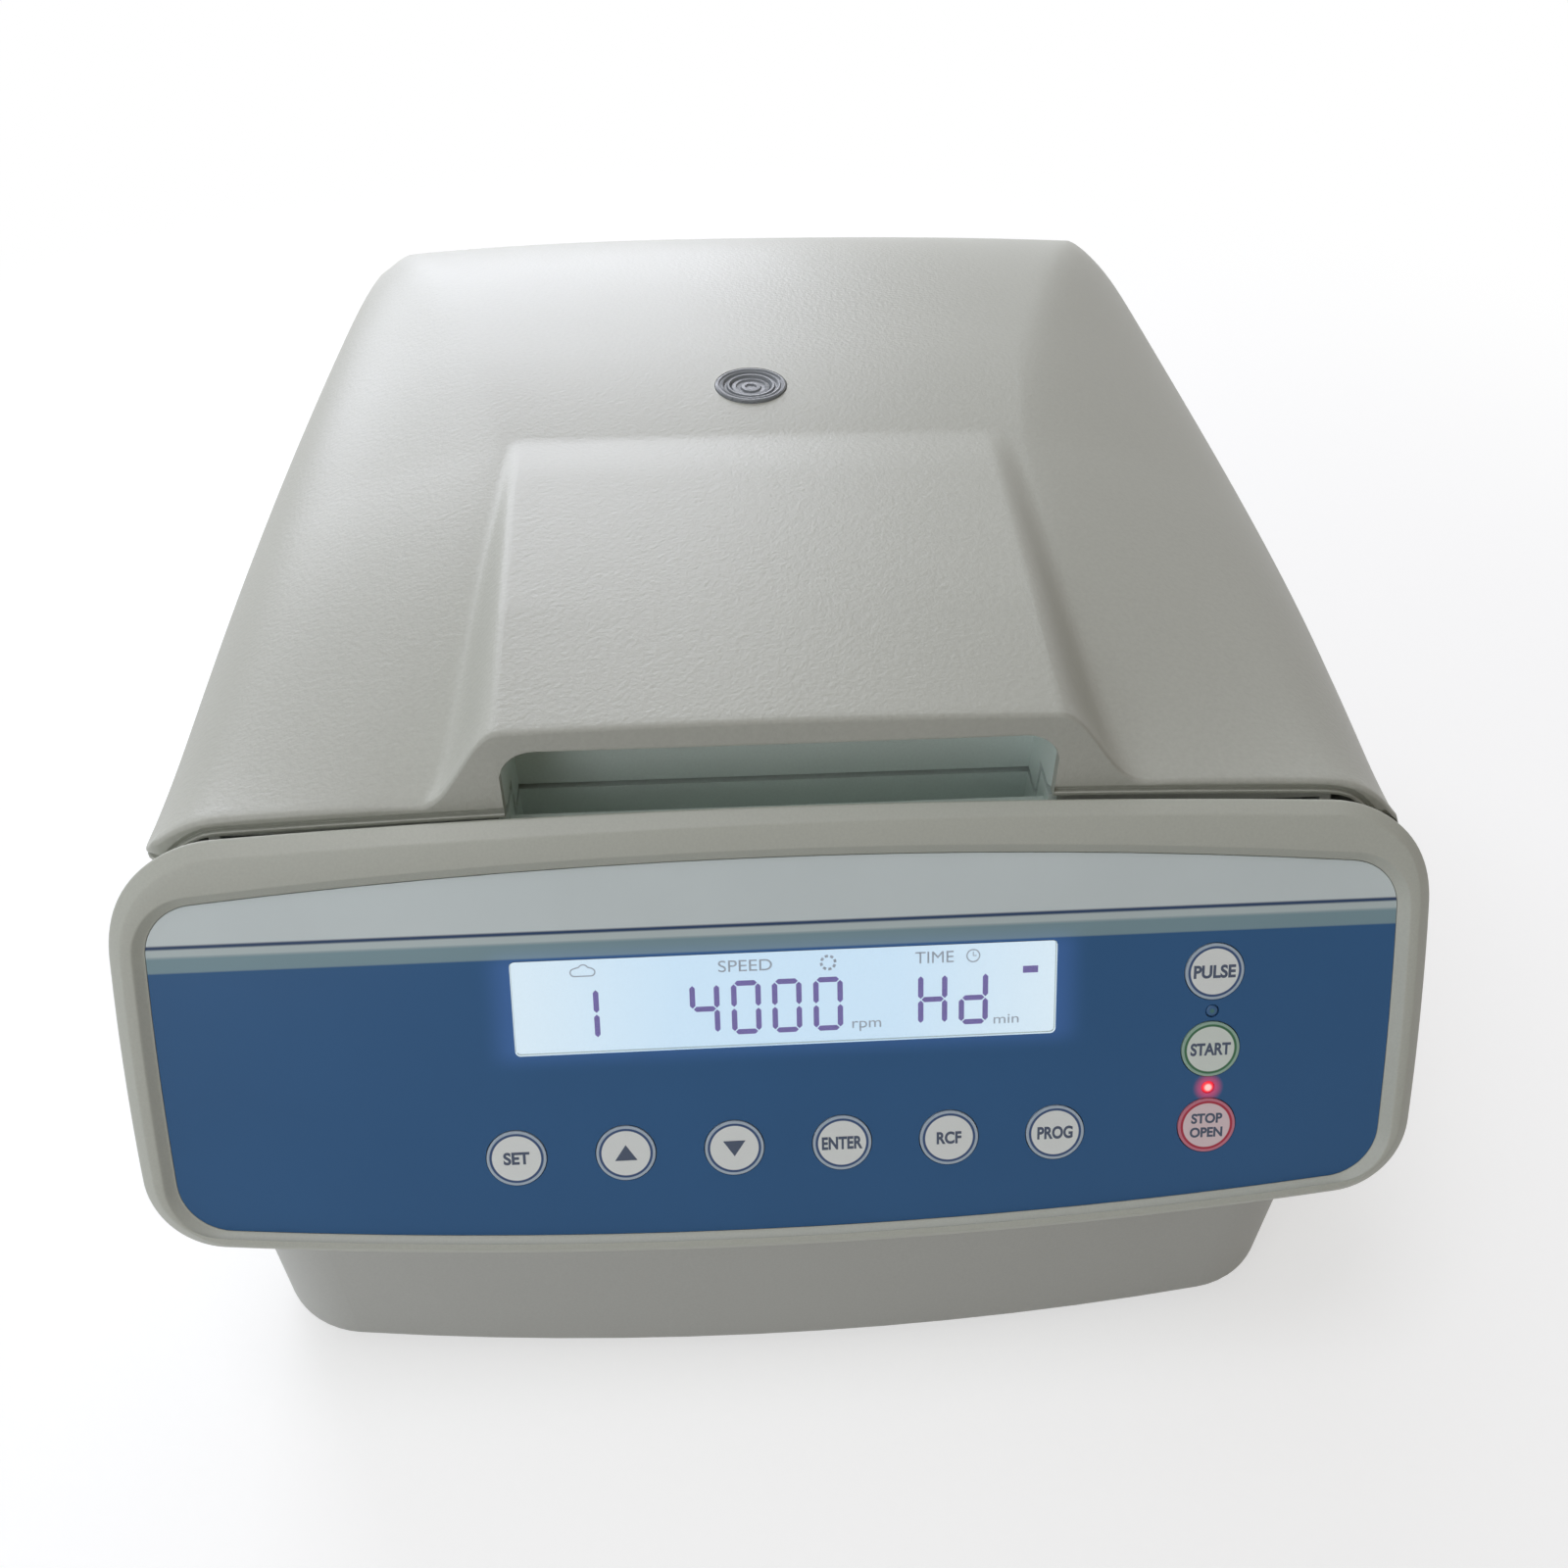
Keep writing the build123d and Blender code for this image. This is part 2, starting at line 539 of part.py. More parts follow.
def lid_liner():
    """The inner plate that closes on the gasket, open to the dome and notched for the finger pocket."""
    half = LID_HALF - WALL - LINER_EDGE
    face = bowed_face(half, LID_SIDE_BOW, FOOT_Y + LEDGE_BACK + 2.5, 1.0, HINGE_Y - LINER_REAR_GAP, 1.0, 8, 8)
    top = LINER_Z + LINER_THICK
    notch = POCKET_WALL + SEAT
    solid = slab(face, LINER_Z, top) - post(0, AXIS_Y, LINER_Z - 1, top + 1, DOME_R)
    solid -= block((-LIFT_HALF - notch, LIFT_HALF + notch), (FOOT_Y, POCKET_Y + notch),
                   (LINER_Z - 1, top + 1))
    for side in (-1, 1):
        x = side * LOCK_X
        solid -= block((x - 8 - SEAT, x + 8 + SEAT), (STRIKER_Y - 1.25 - SEAT, STRIKER_Y + 1.25 + SEAT),
                       (LINER_Z - 1, top + 1))
    return solid


def lid_dome():
    """A round flanged cap on the liner that gives the slide clips room to swing upright."""
    low = LINER_Z + LINER_THICK
    solid = post(0, AXIS_Y, low, DOME_Z + LINER_THICK, DOME_R + LINER_THICK)
    solid += post(0, AXIS_Y, low, low + SHEET, DOME_R + 9)
    solid -= post(0, AXIS_Y, low - 1, DOME_Z, DOME_R)
    return solid - post(0, AXIS_Y, DOME_Z - 1, HEIGHT, PORT_R - PORT_RIM)


def finger_pocket():
    """The moulded pocket behind the finger opening, hung in the liner's notch by its flange."""
    flange = LINER_Z + LINER_THICK
    solid = lift_slab(lift_face(POCKET_WALL), LID_Y0 + WALL + SEAT, POCKET_Y + POCKET_WALL)
    solid &= block((-WIDTH, WIDTH), (LID_Y0, POCKET_Y + POCKET_WALL), (LINER_Z, HEIGHT))
    solid += block((-LIFT_HALF - 12, LIFT_HALF + 12), (FOOT_Y + LEDGE_BACK + 3, POCKET_Y + 10),
                   (flange, flange + 2))
    solid -= lift_slab(lift_face(), LID_Y0 - 5, POCKET_Y)
    solid -= block((-LEDGE_HALF - 2, LEDGE_HALF + 2), (LID_Y0 - 1, FOOT_Y + LEDGE_BACK + 2),
                   (LINER_Z - 1, LEDGE_Z + 2))
    return solid - bezel_room()


def view_port():
    """The clear plug: a flanged disc in the skin with a tube down to the liner's hole."""
    top = crown_z(0, AXIS_Y)
    disc = post(0, AXIS_Y, top - WALL, top, PORT_R)
    disc = fillet(disc.edges().sort_by(Axis.Z)[-1], 0.6)
    tube_r = PORT_R - PORT_RIM - SEAT
    return disc + tube(0, AXIS_Y, DOME_Z, top - WALL, tube_r - 2, tube_r)


def lid_strikers():
    """The two steel loops under the lid that the hooks hold."""
    loops = []
    for side in (-1, 1):
        x = side * LOCK_X
        loop = block((x - 8, x + 8), (STRIKER_Y - 1.25, STRIKER_Y + 1.25), (STRIKER_LOW_Z, LINER_Z))
        loop -= block((x - 5, x + 5), (STRIKER_Y - 2, STRIKER_Y + 2),
                      (STRIKER_LOW_Z + STRIKER_BAR, STRIKER_LOW_Z + STRIKER_BAR + 15))
        loop += block((x - 12, x + 12), (STRIKER_Y - 6, STRIKER_Y + 6),
                      (LINER_Z + LINER_THICK, LINER_Z + LINER_THICK + SHEET))
        loops.append(loop + block((x - 8, x + 8), (STRIKER_Y - 1.25, STRIKER_Y + 1.25),
                                  (LINER_Z, LINER_Z + LINER_THICK + SHEET)))
    return loops


def hinge_arms():
    """Two arms on the liner, each with an eye around its pin."""
    arms = []
    low = LINER_Z + LINER_THICK
    for side in (-1, 1):
        x = side * HINGE_X
        half = HINGE_ARM_WIDE / 2
        arm = block((x - half, x + half), (HINGE_Y - HINGE_ARM_LONG, HINGE_Y), (low, low + 5))
        arm += rod_x(x - half, x + half, HINGE_Y, HINGE_Z, HINGE_EYE_R)
        arms.append(arm - rod_x(x - half - 1, x + half + 1, HINGE_Y, HINGE_Z, HINGE_PIN_R + RUNNING))
    return arms


def hinge_brackets():
    """Two steel brackets on the rear wall, each with two ears that hold the pin."""
    brackets = []
    inner = HINGE_ARM_WIDE / 2 + CLEAR
    for side in (-1, 1):
        x = side * HINGE_X
        bracket = block((x - 16, x + 16), (REAR_Y, REAR_Y + 2.5), (HINGE_Z - 42, DECK_Z))
        for edge in (-1, 1):
            x0 = x + edge * inner
            x1 = x0 + edge * HINGE_EAR
            ear = block((min(x0, x1), max(x0, x1)), (REAR_Y, HINGE_Y), (HINGE_Z - 12, HINGE_Z))
            ear += rod_x(min(x0, x1), max(x0, x1), HINGE_Y, HINGE_Z, HINGE_EYE_R)
            bracket += ear - rod_x(min(x0, x1) - 1, max(x0, x1) + 1, HINGE_Y, HINGE_Z, HINGE_PIN_R)
        brackets.append(bracket)
    return brackets


def hinge_pins():
    reach = HINGE_ARM_WIDE / 2 + CLEAR + HINGE_EAR + 1
    return [rod_x(side * HINGE_X - reach, side * HINGE_X + reach, HINGE_Y, HINGE_Z, HINGE_PIN_R)
            for side in (-1, 1)]


# ================================================================ chamber and drive
def chamber_bowl():
    """A spun steel bowl whose flange rests on the deck."""
    outer = post(0, AXIS_Y, BOWL_FLOOR_Z, DECK_Z + SHEET, BOWL_R)
    outer = fillet(outer.edges().sort_by(Axis.Z)[0], 12)
    outer += post(0, AXIS_Y, DECK_Z, DECK_Z + SHEET, BOWL_R + BOWL_FLANGE)
    inner = post(0, AXIS_Y, BOWL_FLOOR_Z + SHEET, DECK_Z + SHEET + 5, BOWL_R - SHEET)
    inner = fillet(inner.edges().sort_by(Axis.Z)[0], 12 - SHEET)
    hole = BEARING_R + NECK_WALL + BOWL_HOLE_GAP
    return outer - inner - post(0, AXIS_Y, BOWL_FLOOR_Z - 1, BOWL_FLOOR_Z + 5, hole)


def chamber_gasket():
    """A soft ring on the bowl's flange, just under the closed liner."""
    ring = tube(0, AXIS_Y, DECK_Z + SHEET, GASKET_TOP_Z,
                GASKET_R - GASKET_WIDE / 2, GASKET_R + GASKET_WIDE / 2)
    return fillet(ring.edges().group_by(Axis.Z)[-1], 1.2)


def guard_ring():
    """A thick steel cylinder around the bowl, from the tray's floor to the deck."""
    return tube(0, AXIS_Y, TRAY_FLOOR_Z, DECK_Z - WALL, GUARD_R, GUARD_R + GUARD_WALL)


def motor_plate():
    plate = RectangleRounded(PLATE_SIDE, PLATE_SIDE, 12) - Circle(BEARING_R + 4)
    return Pos(0, AXIS_Y, 0) * slab(plate, MOTOR_LOW_Z - PLATE_THICK, MOTOR_LOW_Z)


def motor_dampers():
    """Four rubber bushes with waists, between the tray's floor and the motor's plate."""
    tall = MOTOR_LOW_Z - PLATE_THICK - TRAY_FLOOR_Z
    profile = make_face([
        Line((0, 0), (10, 0)),
        ThreePointArc((10, 0), (7, tall / 2), (10, tall)),
        Line((10, tall), (0, tall)),
        Line((0, tall), (0, 0)),
    ])
    bush = revolve(Plane.XZ * profile, Axis.Z)
    reach = PLATE_SIDE / 2 - 16
    return [Pos(x, AXIS_Y + y, TRAY_FLOOR_Z) * bush for x in (-reach, reach) for y in (-reach, reach)]


def motor_body():
    """The motor's can with a neck that carries the upper bearing through the bowl's floor."""
    can = post(0, AXIS_Y, MOTOR_LOW_Z, MOTOR_HIGH_Z, MOTOR_R)
    can = fillet(can.edges().sort_by(Axis.Z)[-1], 5)
    middle = (MOTOR_LOW_Z + MOTOR_HIGH_Z) / 2
    groove = Pos(MOTOR_R, 0, middle) * Box(5, 3, MOTOR_HIGH_Z - MOTOR_LOW_Z - 16)
    for i in range(24):
        can -= Pos(0, AXIS_Y, 0) * Rot(0, 0, 15 * i) * groove
    neck_top = BOWL_FLOOR_Z + SHEET + 5
    can += post(0, AXIS_Y, MOTOR_HIGH_Z - 1, neck_top, BEARING_R + NECK_WALL)
    can -= post(0, AXIS_Y, MOTOR_LOW_Z - 1, neck_top + 1, SHAFT_R + 2)
    can -= post(0, AXIS_Y, MOTOR_LOW_Z - 1, MOTOR_LOW_Z + BEARING_WIDE, BEARING_R)
    return can - post(0, AXIS_Y, neck_top - BEARING_WIDE, neck_top + 1, BEARING_R)


def motor_bearings():
    neck_top = BOWL_FLOOR_Z + SHEET + 5
    return [tube(0, AXIS_Y, z, z + BEARING_WIDE, SHAFT_R + RUNNING, BEARING_R)
            for z in (MOTOR_LOW_Z, neck_top - BEARING_WIDE)]


# ================================================================ cyto rotor
def at_station(i, shape):
    """Put a shape drawn at the pivot (x across, y outwards, z up) at a station of the rotor."""
    angle = 360 / STATIONS * i
    place = Pos(0, AXIS_Y, 0) * Rot(0, 0, angle) * Pos(0, PIVOT_FROM_AXIS, ROTOR_Z + PIVOT_UP)
    return place * shape


def motor_shaft():
    shaft = post(0, AXIS_Y, MOTOR_LOW_Z - 2, HUB_TOP_Z, SHAFT_R)
    shaft += post(0, AXIS_Y, HUB_TOP_Z, SHAFT_TOP_Z, SHAFT_R - 1)
    return fillet(shaft.edges().sort_by(Axis.Z)[-1], 0.8)


def rotor_head():
    """A dished floor with a rim, a hub, and a pair of cheeks at each station."""
    head = post(0, AXIS_Y, ROTOR_Z - ROTOR_THICK, ROTOR_Z, ROTOR_R)
    head += tube(0, AXIS_Y, ROTOR_Z - 1, ROTOR_Z + 8, ROTOR_R - 3, ROTOR_R)
    head += Pos(0, AXIS_Y, (ROTOR_Z + HUB_TOP_Z) / 2 - 1) * Cone(HUB_R + 8, HUB_R, HUB_TOP_Z - ROTOR_Z + 2)
    inner = CLIP_WIDE / 2 + CLEAR
    for i in range(STATIONS):
        for side in (-1, 1):
            x0, x1 = sorted((side * inner, side * (inner + CHEEK_THICK)))
            cheek = block((x0, x1), (-16, 14), (-PIVOT_UP - 1, CHEEK_TALL - PIVOT_UP))
            cheek -= rod_x(x0 - 1, x1 + 1, 0, 0, PIVOT_R + RUNNING)
            head += at_station(i, cheek)
        window = Pos(0, -PIVOT_FROM_AXIS + 50, -PIVOT_UP) * Cylinder(11, 4 * ROTOR_THICK)
        head -= at_station(i, window)
    return head - post(0, AXIS_Y, ROTOR_Z - 10, HUB_TOP_Z + 5, SHAFT_R)


def rotor_nut():
    """The fluted knob that holds the rotor down on the shaft."""
    knob = post(0, AXIS_Y, HUB_TOP_Z, HUB_TOP_Z + 16, 14)
    knob = fillet(knob.edges().sort_by(Axis.Z)[-1], 3)
    for i in range(8):
        knob -= Pos(0, AXIS_Y, 0) * Rot(0, 0, 45 * i) * post(16, 0, HUB_TOP_Z - 1, HUB_TOP_Z + 20, 4)
    return knob - post(0, AXIS_Y, HUB_TOP_Z - 1, SHAFT_TOP_Z, SHAFT_R - 1)


def leaning(shape):
    """A clip's own shape, leaned inwards about its pivot as it stands at rest."""
    return Rot(CLIP_LEAN, 0, 0) * shape


def slide_clip(i):
    """A steel clip: back plate, side flanges, foot, top lip, trunnion pins and a wire bail."""
    half = CLIP_WIDE / 2
    low = 3 - PIVOT_UP
    clip = block((-half, half), (1, 1 + CLIP_THICK), (low, low + CLIP_TALL))
    for side in (-1, 1):
        x0, x1 = sorted((side * half, side * (half - SHEET)))
        clip += block((x0, x1), (-CUP_IN - 1, 1), (0, 22))
        clip += block((x0, x1), (-6, 1), (low, 1))
        clip += block((x0, x1), (-CUP_IN - 1, 1), (38, 46))
        pin0, pin1 = sorted((side * (half - 1), side * (half + CLEAR + CHEEK_THICK)))
        clip += rod_x(pin0, pin1, 0, 0, PIVOT_R)
    clip += block((-half, half), (-6, 1), (low, low + SHEET))
    clip += block((-10, 10), (-4, 1), (low + CLIP_TALL - SHEET, low + CLIP_TALL))
    clip += rod_x(-half, half, -CUP_IN - 11, 42, 1)
    for side in (-1, 1):
        arm = Pos(side * (half - 1), -CUP_IN - 5.5, 42) * Rot(90, 0, 0) * Cylinder(1, 11)
        clip += arm
    return at_station(i, leaning(clip))


def sample_chamber(i):
    """A moulded plate that covers the slide's place, with its upright sample cup and port."""
    half = CLIP_WIDE / 2 - SHEET - 0.5
    low = 3 - PIVOT_UP + SHEET + 0.2
    plate = block((-half, half), (-1.5, 0.8), (low, low + 74))
    port = Pos(0, -CUP_IN / 2, CUP_UP + 6) * Rot(90, 0, 0) * Cylinder(4.5, CUP_IN)
    cup = Pos(0, -CUP_IN, CUP_UP + CUP_TALL / 2) * Cylinder(CUP_R, CUP_TALL)
    hollow = Pos(0, -CUP_IN, CUP_UP + CUP_WALL + CUP_TALL / 2) * Cylinder(CUP_R - CUP_WALL, CUP_TALL)
    bore = Pos(0, -CUP_IN / 2, CUP_UP + 6) * Rot(90, 0, 0) * Cylinder(3, CUP_IN)
    return at_station(i, leaning(plate + port + cup - hollow - bore))


# ================================================================ lid lock
def latch_shaft():
    return rod_x(-LOCK_X - 4, LOCK_X + 4, LOCK_Y, LOCK_SHAFT_Z, LOCK_SHAFT_R)


def latch_hooks():
    """Two hooks and the lever that the plunger pulls, all tight on the shaft."""
    nose_low = STRIKER_LOW_Z + STRIKER_BAR - LOCK_SHAFT_Z + 1
    nose_end = STRIKER_AHEAD + 4
    outline = Polyline((-3.5, -4), (3.5, -4), (3.5, nose_low), (nose_end, nose_low),
                       (nose_end - 1, nose_low + 4), (-3.5, nose_low + 5), close=True)
    pieces = []
    for side in (-1, 1):
        plane = Plane(origin=(side * LOCK_X - 1.5, LOCK_Y, LOCK_SHAFT_Z), x_dir=(0, 1, 0), z_dir=(1, 0, 0))
        hook = plane * extrude(make_face(outline), amount=3)
        hook += rod_x(side * LOCK_X - 3, side * LOCK_X + 3, LOCK_Y, LOCK_SHAFT_Z, LOCK_SHAFT_R + 2.5)
        pieces.append(hook)
    lever = block((LEVER_X - 1.5, LEVER_X + 1.5), (LOCK_Y - 1.5, LOCK_Y + 1.5),
                  (LOCK_SHAFT_Z - LEVER_LONG, LOCK_SHAFT_Z))
    pieces.append(lever + rod_x(LEVER_X - 3, LEVER_X + 3, LOCK_Y, LOCK_SHAFT_Z, LOCK_SHAFT_R + 2.5))
    bore = rod_x(-LOCK_X - 5, LOCK_X + 5, LOCK_Y, LOCK_SHAFT_Z, LOCK_SHAFT_R)
    return [piece - bore for piece in pieces]


def lock_plunger():
    """The solenoid's plunger, whose slotted head takes the end of the lever."""
    z = LOCK_SHAFT_Z - LEVER_LONG + 4
    head = block((LEVER_X - 4, LEVER_X + 4), (LOCK_Y - 6.5, LOCK_Y + 6.5), (z - 3, z + 3))
    head -= block((LEVER_X - 2, LEVER_X + 2), (LOCK_Y - 3.8, LOCK_Y + 3.8), (z - 4, z + 4))
    rod = Pos(LEVER_X, LOCK_Y + 20, z) * Rot(90, 0, 0) * Cylinder(4, 28)
    return head + rod


def lock_solenoid():
    """The solenoid's frame, hung from the deck."""
    z = LOCK_SHAFT_Z - LEVER_LONG + 4
    frame = block((LEVER_X - 12, LEVER_X + 12), (LOCK_Y + 15, LOCK_Y + 43), (z - 11, z + 11))
    frame += block((LEVER_X - 12, LEVER_X + 12), (LOCK_Y + 15, LOCK_Y + 17), (z + 10, DECK_Z - WALL))
    return frame - Pos(LEVER_X, LOCK_Y + 27, z) * Rot(90, 0, 0) * Cylinder(4 + RUNNING, 30)


# ================================================================ rear fittings
def power_board():
    """The power supply on the tray's floor, in front of the guard ring."""
    y = FOOT_Y + 66
    board = block((-110, -20), (y - 30, y + 30), (TRAY_FLOOR_Z + 6, TRAY_FLOOR_Z + 7.6))
    top = TRAY_FLOOR_Z + 7.1
    board += block((-100, -72), (y - 20, y + 10), (top, top + 26))
    board += block((-60, -44), (y - 24, y + 24), (top, top + 20))
    for i in range(3):
        board += post(-32, y - 18 + 18 * i, top, top + 24, 6.5)
    for x in (-106, -24):
        for dy in (-26, 26):
            board += post(x, y + dy, TRAY_FLOOR_Z, top, 3)
    return board


def mains_inlet():
    """A three-pin appliance inlet: flanged body and its pins."""
    x, z = INLET_X, REAR_FITTING_Z
    body = block((x - 25, x + 25), (REAR_Y, REAR_Y + 3), (z - 12, z + 12))
    body += block((x - 14, x + 14), (REAR_Y - 22, REAR_Y), (z - 10, z + 10))
    body -= block((x - 12, x + 12), (REAR_Y - 17, REAR_Y + 4), (z - 8, z + 8))
    pins = [body]
    for dx, dz in ((-7, 0.5), (7, 0.5), (0, 4.5)):
        pins.append(block((x + dx - 1, x + dx + 1), (REAR_Y - 17, REAR_Y - 2), (z + dz - 2, z + dz + 2)))
    return pins


def switch_frame():
    """The power switch's frame, with holes for the rocker's pivots."""
    x, z = SWITCH_X, REAR_FITTING_Z
    frame = block((x - 12, x + 12), (REAR_Y, REAR_Y + 1.5), (z - 16.5, z + 16.5))
    frame += block((x - 10, x + 10), (REAR_Y - 18, REAR_Y), (z - 14, z + 14))
    frame -= block((x - 8.5, x + 8.5), (REAR_Y - 13, REAR_Y + 2), (z - 12.9, z + 12.9))
    return frame - rod_x(x - 9.7, x + 9.7, REAR_Y - 3, z, 1.2 + RUNNING)


def power_rocker():
    """The rocker: a shallow V between its two pressed faces, on short pivots."""
    outline = Polyline((-4, -5), (5.5, -11.5), (3.8, 0), (5.5, 11.5), (-4, 5), close=True)
    plane = Plane(origin=(-8, 0, 0), x_dir=(0, 1, 0), z_dir=(1, 0, 0))
    rocker = plane * extrude(make_face(outline), amount=16)
    rocker += rod_x(-9.5, 9.5, 0, 0, 1.2)
    return Pos(SWITCH_X, REAR_Y - 3, REAR_FITTING_Z) * Rot(-SWITCH_REST, 0, 0) * rocker


# ================================================================ writing the parts
NODES = {
    "front_bezel": front_bezel,
    "membrane_overlay": membrane_overlay,
    "display_window": display_window,
    "display_module": display_module,
    "control_board": control_board,
    "key_switches": key_switches,
    "status_lamps": status_lamps,
    "base_tray": base_tray,
    "main_housing": main_housing,
    "finger_scoop": finger_scoop,
    "rubber_feet": rubber_feet,
    "case_screws": case_screws,
    "lid_shell": lid_shell,
    "lid_liner": lid_liner,
    "lid_dome": lid_dome,
    "finger_pocket": finger_pocket,
    "view_port": view_port,
    "lid_strikers": lid_strikers,
    "hinge_arms": hinge_arms,
    "hinge_brackets": hinge_brackets,
    "hinge_pins": hinge_pins,
    "chamber_bowl": chamber_bowl,
    "chamber_gasket": chamber_gasket,
    "guard_ring": guard_ring,
    "motor_plate": motor_plate,
    "motor_dampers": motor_dampers,
    "motor_body": motor_body,
    "motor_bearings": motor_bearings,
    "motor_shaft": motor_shaft,
    "rotor_head": rotor_head,
    "rotor_nut": rotor_nut,
    "latch_shaft": latch_shaft,
    "latch_hooks": latch_hooks,
    "lock_plunger": lock_plunger,
    "lock_solenoid": lock_solenoid,
    "power_board": power_board,
    "mains_inlet": mains_inlet,
    "switch_frame": switch_frame,
    "power_rocker": power_rocker,
}
for key in KEYS:
    NODES["key_" + key] = lambda key=key: key_cap(key)
for station in range(STATIONS):
    NODES[f"slide_clip_{station + 1}"] = lambda i=station: slide_clip(i)
    NODES[f"sample_chamber_{station + 1}"] = lambda i=station: sample_chamber(i)

os.makedirs("parts", exist_ok=True)
for name, make in NODES.items():
    made = make()
    export_step(Compound(made) if isinstance(made, list) else made, f"parts/{name}.step")
print(len(NODES), "parts written")
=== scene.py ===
# %% [markdown]
# # A bench cytocentrifuge, dressed for the camera
# A cytocentrifuge spins drops of cell suspension onto glass slides. The machine is a grey
# moulded casing with a crowned lid, and a blue control panel that leans back so that someone
# standing at the bench can read it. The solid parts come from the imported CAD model. This file
# adds the soft-edged mouldings, the printed panel, the finishes, the light and the camera.

# %% Load the frame
import math
import bpy
import numpy as np
from mathutils import Matrix, Vector


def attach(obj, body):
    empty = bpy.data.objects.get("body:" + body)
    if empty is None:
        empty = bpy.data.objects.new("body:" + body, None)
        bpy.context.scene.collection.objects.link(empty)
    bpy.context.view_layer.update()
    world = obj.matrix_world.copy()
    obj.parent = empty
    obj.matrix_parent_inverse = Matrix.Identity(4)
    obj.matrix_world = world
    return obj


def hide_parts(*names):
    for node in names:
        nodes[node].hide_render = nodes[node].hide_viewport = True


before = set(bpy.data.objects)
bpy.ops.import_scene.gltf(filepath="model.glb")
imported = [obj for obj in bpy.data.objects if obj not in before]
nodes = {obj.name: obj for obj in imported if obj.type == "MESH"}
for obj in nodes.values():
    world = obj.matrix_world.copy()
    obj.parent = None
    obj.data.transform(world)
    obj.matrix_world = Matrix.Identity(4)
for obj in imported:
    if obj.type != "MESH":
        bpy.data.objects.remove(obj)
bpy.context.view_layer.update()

# %% [markdown]
# ## Two places to draw in
# Most of the machine is drawn in its own frame: x across, y to the back, z up, from the middle of
# the bench. The panel leans back, so its print is drawn in a second frame: u across, v up the slope
# and n out of the face. Sizes are written in millimetres, as a drawing gives them, and one function
# turns panel places into places on the machine.

# %% The machine's own sizes
MM = 0.001
TILT = math.radians(28.4)
PANEL_FOOT = np.array([0.0, -234.421, 85.0])
PANEL_U = np.array([1.0, 0.0, 0.0])
PANEL_V = np.array([0.0, math.sin(TILT), math.cos(TILT)])
PANEL_N = np.array([0.0, -math.cos(TILT), math.sin(TILT)])
LID_FRONT_Y, LID_BACK_Y = -168.421, 233.0
LID_LONG = LID_BACK_Y - LID_FRONT_Y
ROTOR_Y = 13.979


def on_panel(u, v, n):
    """Panel place to machine place: the foot, plus u across, v up the slope and n out of the face."""
    u, v, n = np.broadcast_arrays(np.asarray(u, float), np.asarray(v, float), np.asarray(n, float))
    return PANEL_FOOT + u[..., None] * PANEL_U + v[..., None] * PANEL_V + n[..., None] * PANEL_N


print("panel leans", round(math.degrees(TILT), 1), "degrees, lid is", round(LID_LONG, 1), "mm long")

# %% [markdown]
# ## From a grid of points to a piece
# A surface here is a grid: rows of points, each joined to its neighbours by four-sided faces. A
# loop of rows that meets itself makes a ring, and a row that shrinks to one point makes a cap. The
# faces are worked out as whole arrays of indices, so a fine grid costs no more code than a coarse one.

# %% Grids and pieces
def grid_faces(rows, columns, wrap=False):
    """Corner (r, c) has index r * columns + c, and each face joins four neighbouring corners."""
    r = np.arange(rows - 1)[:, None]
    c = np.arange(columns if wrap else columns - 1)[None, :]
    nxt = (c + 1) % columns
    quads = np.stack([r * columns + c, r * columns + nxt, (r + 1) * columns + nxt, (r + 1) * columns + c], -1)
    return quads.reshape(-1, 4)


def closed_tube(rows, columns):
    """Faces of loops joined into a tube, with one flat face at each end."""
    caps = [list(range(columns))[::-1], list(range((rows - 1) * columns, rows * columns))]
    return grid_faces(rows, columns, wrap=True).tolist() + caps


def circle_points(sides):
    """Points on a circle of radius 1, anticlockwise from the right."""
    angle = np.linspace(0, 2 * math.pi, sides, endpoint=False)
    return np.stack([np.cos(angle), np.sin(angle)], -1)


def make_piece(name, points, faces, smooth_angle=40.0):
    """Points in millimetres and faces of three or four corners become a named object at the origin."""
    mesh = bpy.data.meshes.new(name)
    mesh.from_pydata((np.asarray(points, float).reshape(-1, 3) * MM).tolist(), [], [tuple(f) for f in faces])
    mesh.validate()
    mesh.shade_smooth()
    mesh.set_sharp_from_angle(angle=math.radians(smooth_angle))
    thing = bpy.data.objects.new(name, mesh)
    bpy.context.scene.collection.objects.link(thing)
    return thing


def final_mesh(thing):
    """The shape of a piece as a mesh of its own, with its modifiers or its letters worked out."""
    bpy.context.view_layer.update()
    return bpy.data.meshes.new_from_object(thing.evaluated_get(bpy.context.evaluated_depsgraph_get()))


def carried(thing, body, slot, *instead_of):
    """The piece rides on a CAD body and may stand for CAD nodes, which it hides. The slot is not used."""
    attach(thing, body)
    if instead_of:
        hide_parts(*instead_of)
    print(thing.name, len(thing.data.polygons), "faces on", body)


def smooth_step(t):
    """Rises from 0 to 1 as t does, level at both ends: 3t^2 - 2t^3."""
    t = np.clip(t, 0.0, 1.0)
    return t * t * (3 - 2 * t)


# %% [markdown]
# ## Outlines made of arcs
# The bezel, the overlay and the lid share one kind of outline: four long arcs that bow outwards, and
# four corner arcs that touch both their neighbours. Every arc has a centre, so an outline that lies
# a little further in is the same arcs with shorter radii. That is how a rolled edge is made: the
# same loop of points, drawn at several depths and insets.

# %% Arc outlines
def arc_through(p, q, bow):
    """Centre and radius of the arc from p to q whose middle stands out by bow to the right of p to q."""
    p, q = np.asarray(p, float), np.asarray(q, float)
    half = np.linalg.norm(q - p) / 2
    out = np.array([(q - p)[1], -(q - p)[0]]) / (2 * half)
    radius = (half ** 2 + bow ** 2) / (2 * bow)
    return (p + q) / 2 - out * (radius - bow), radius


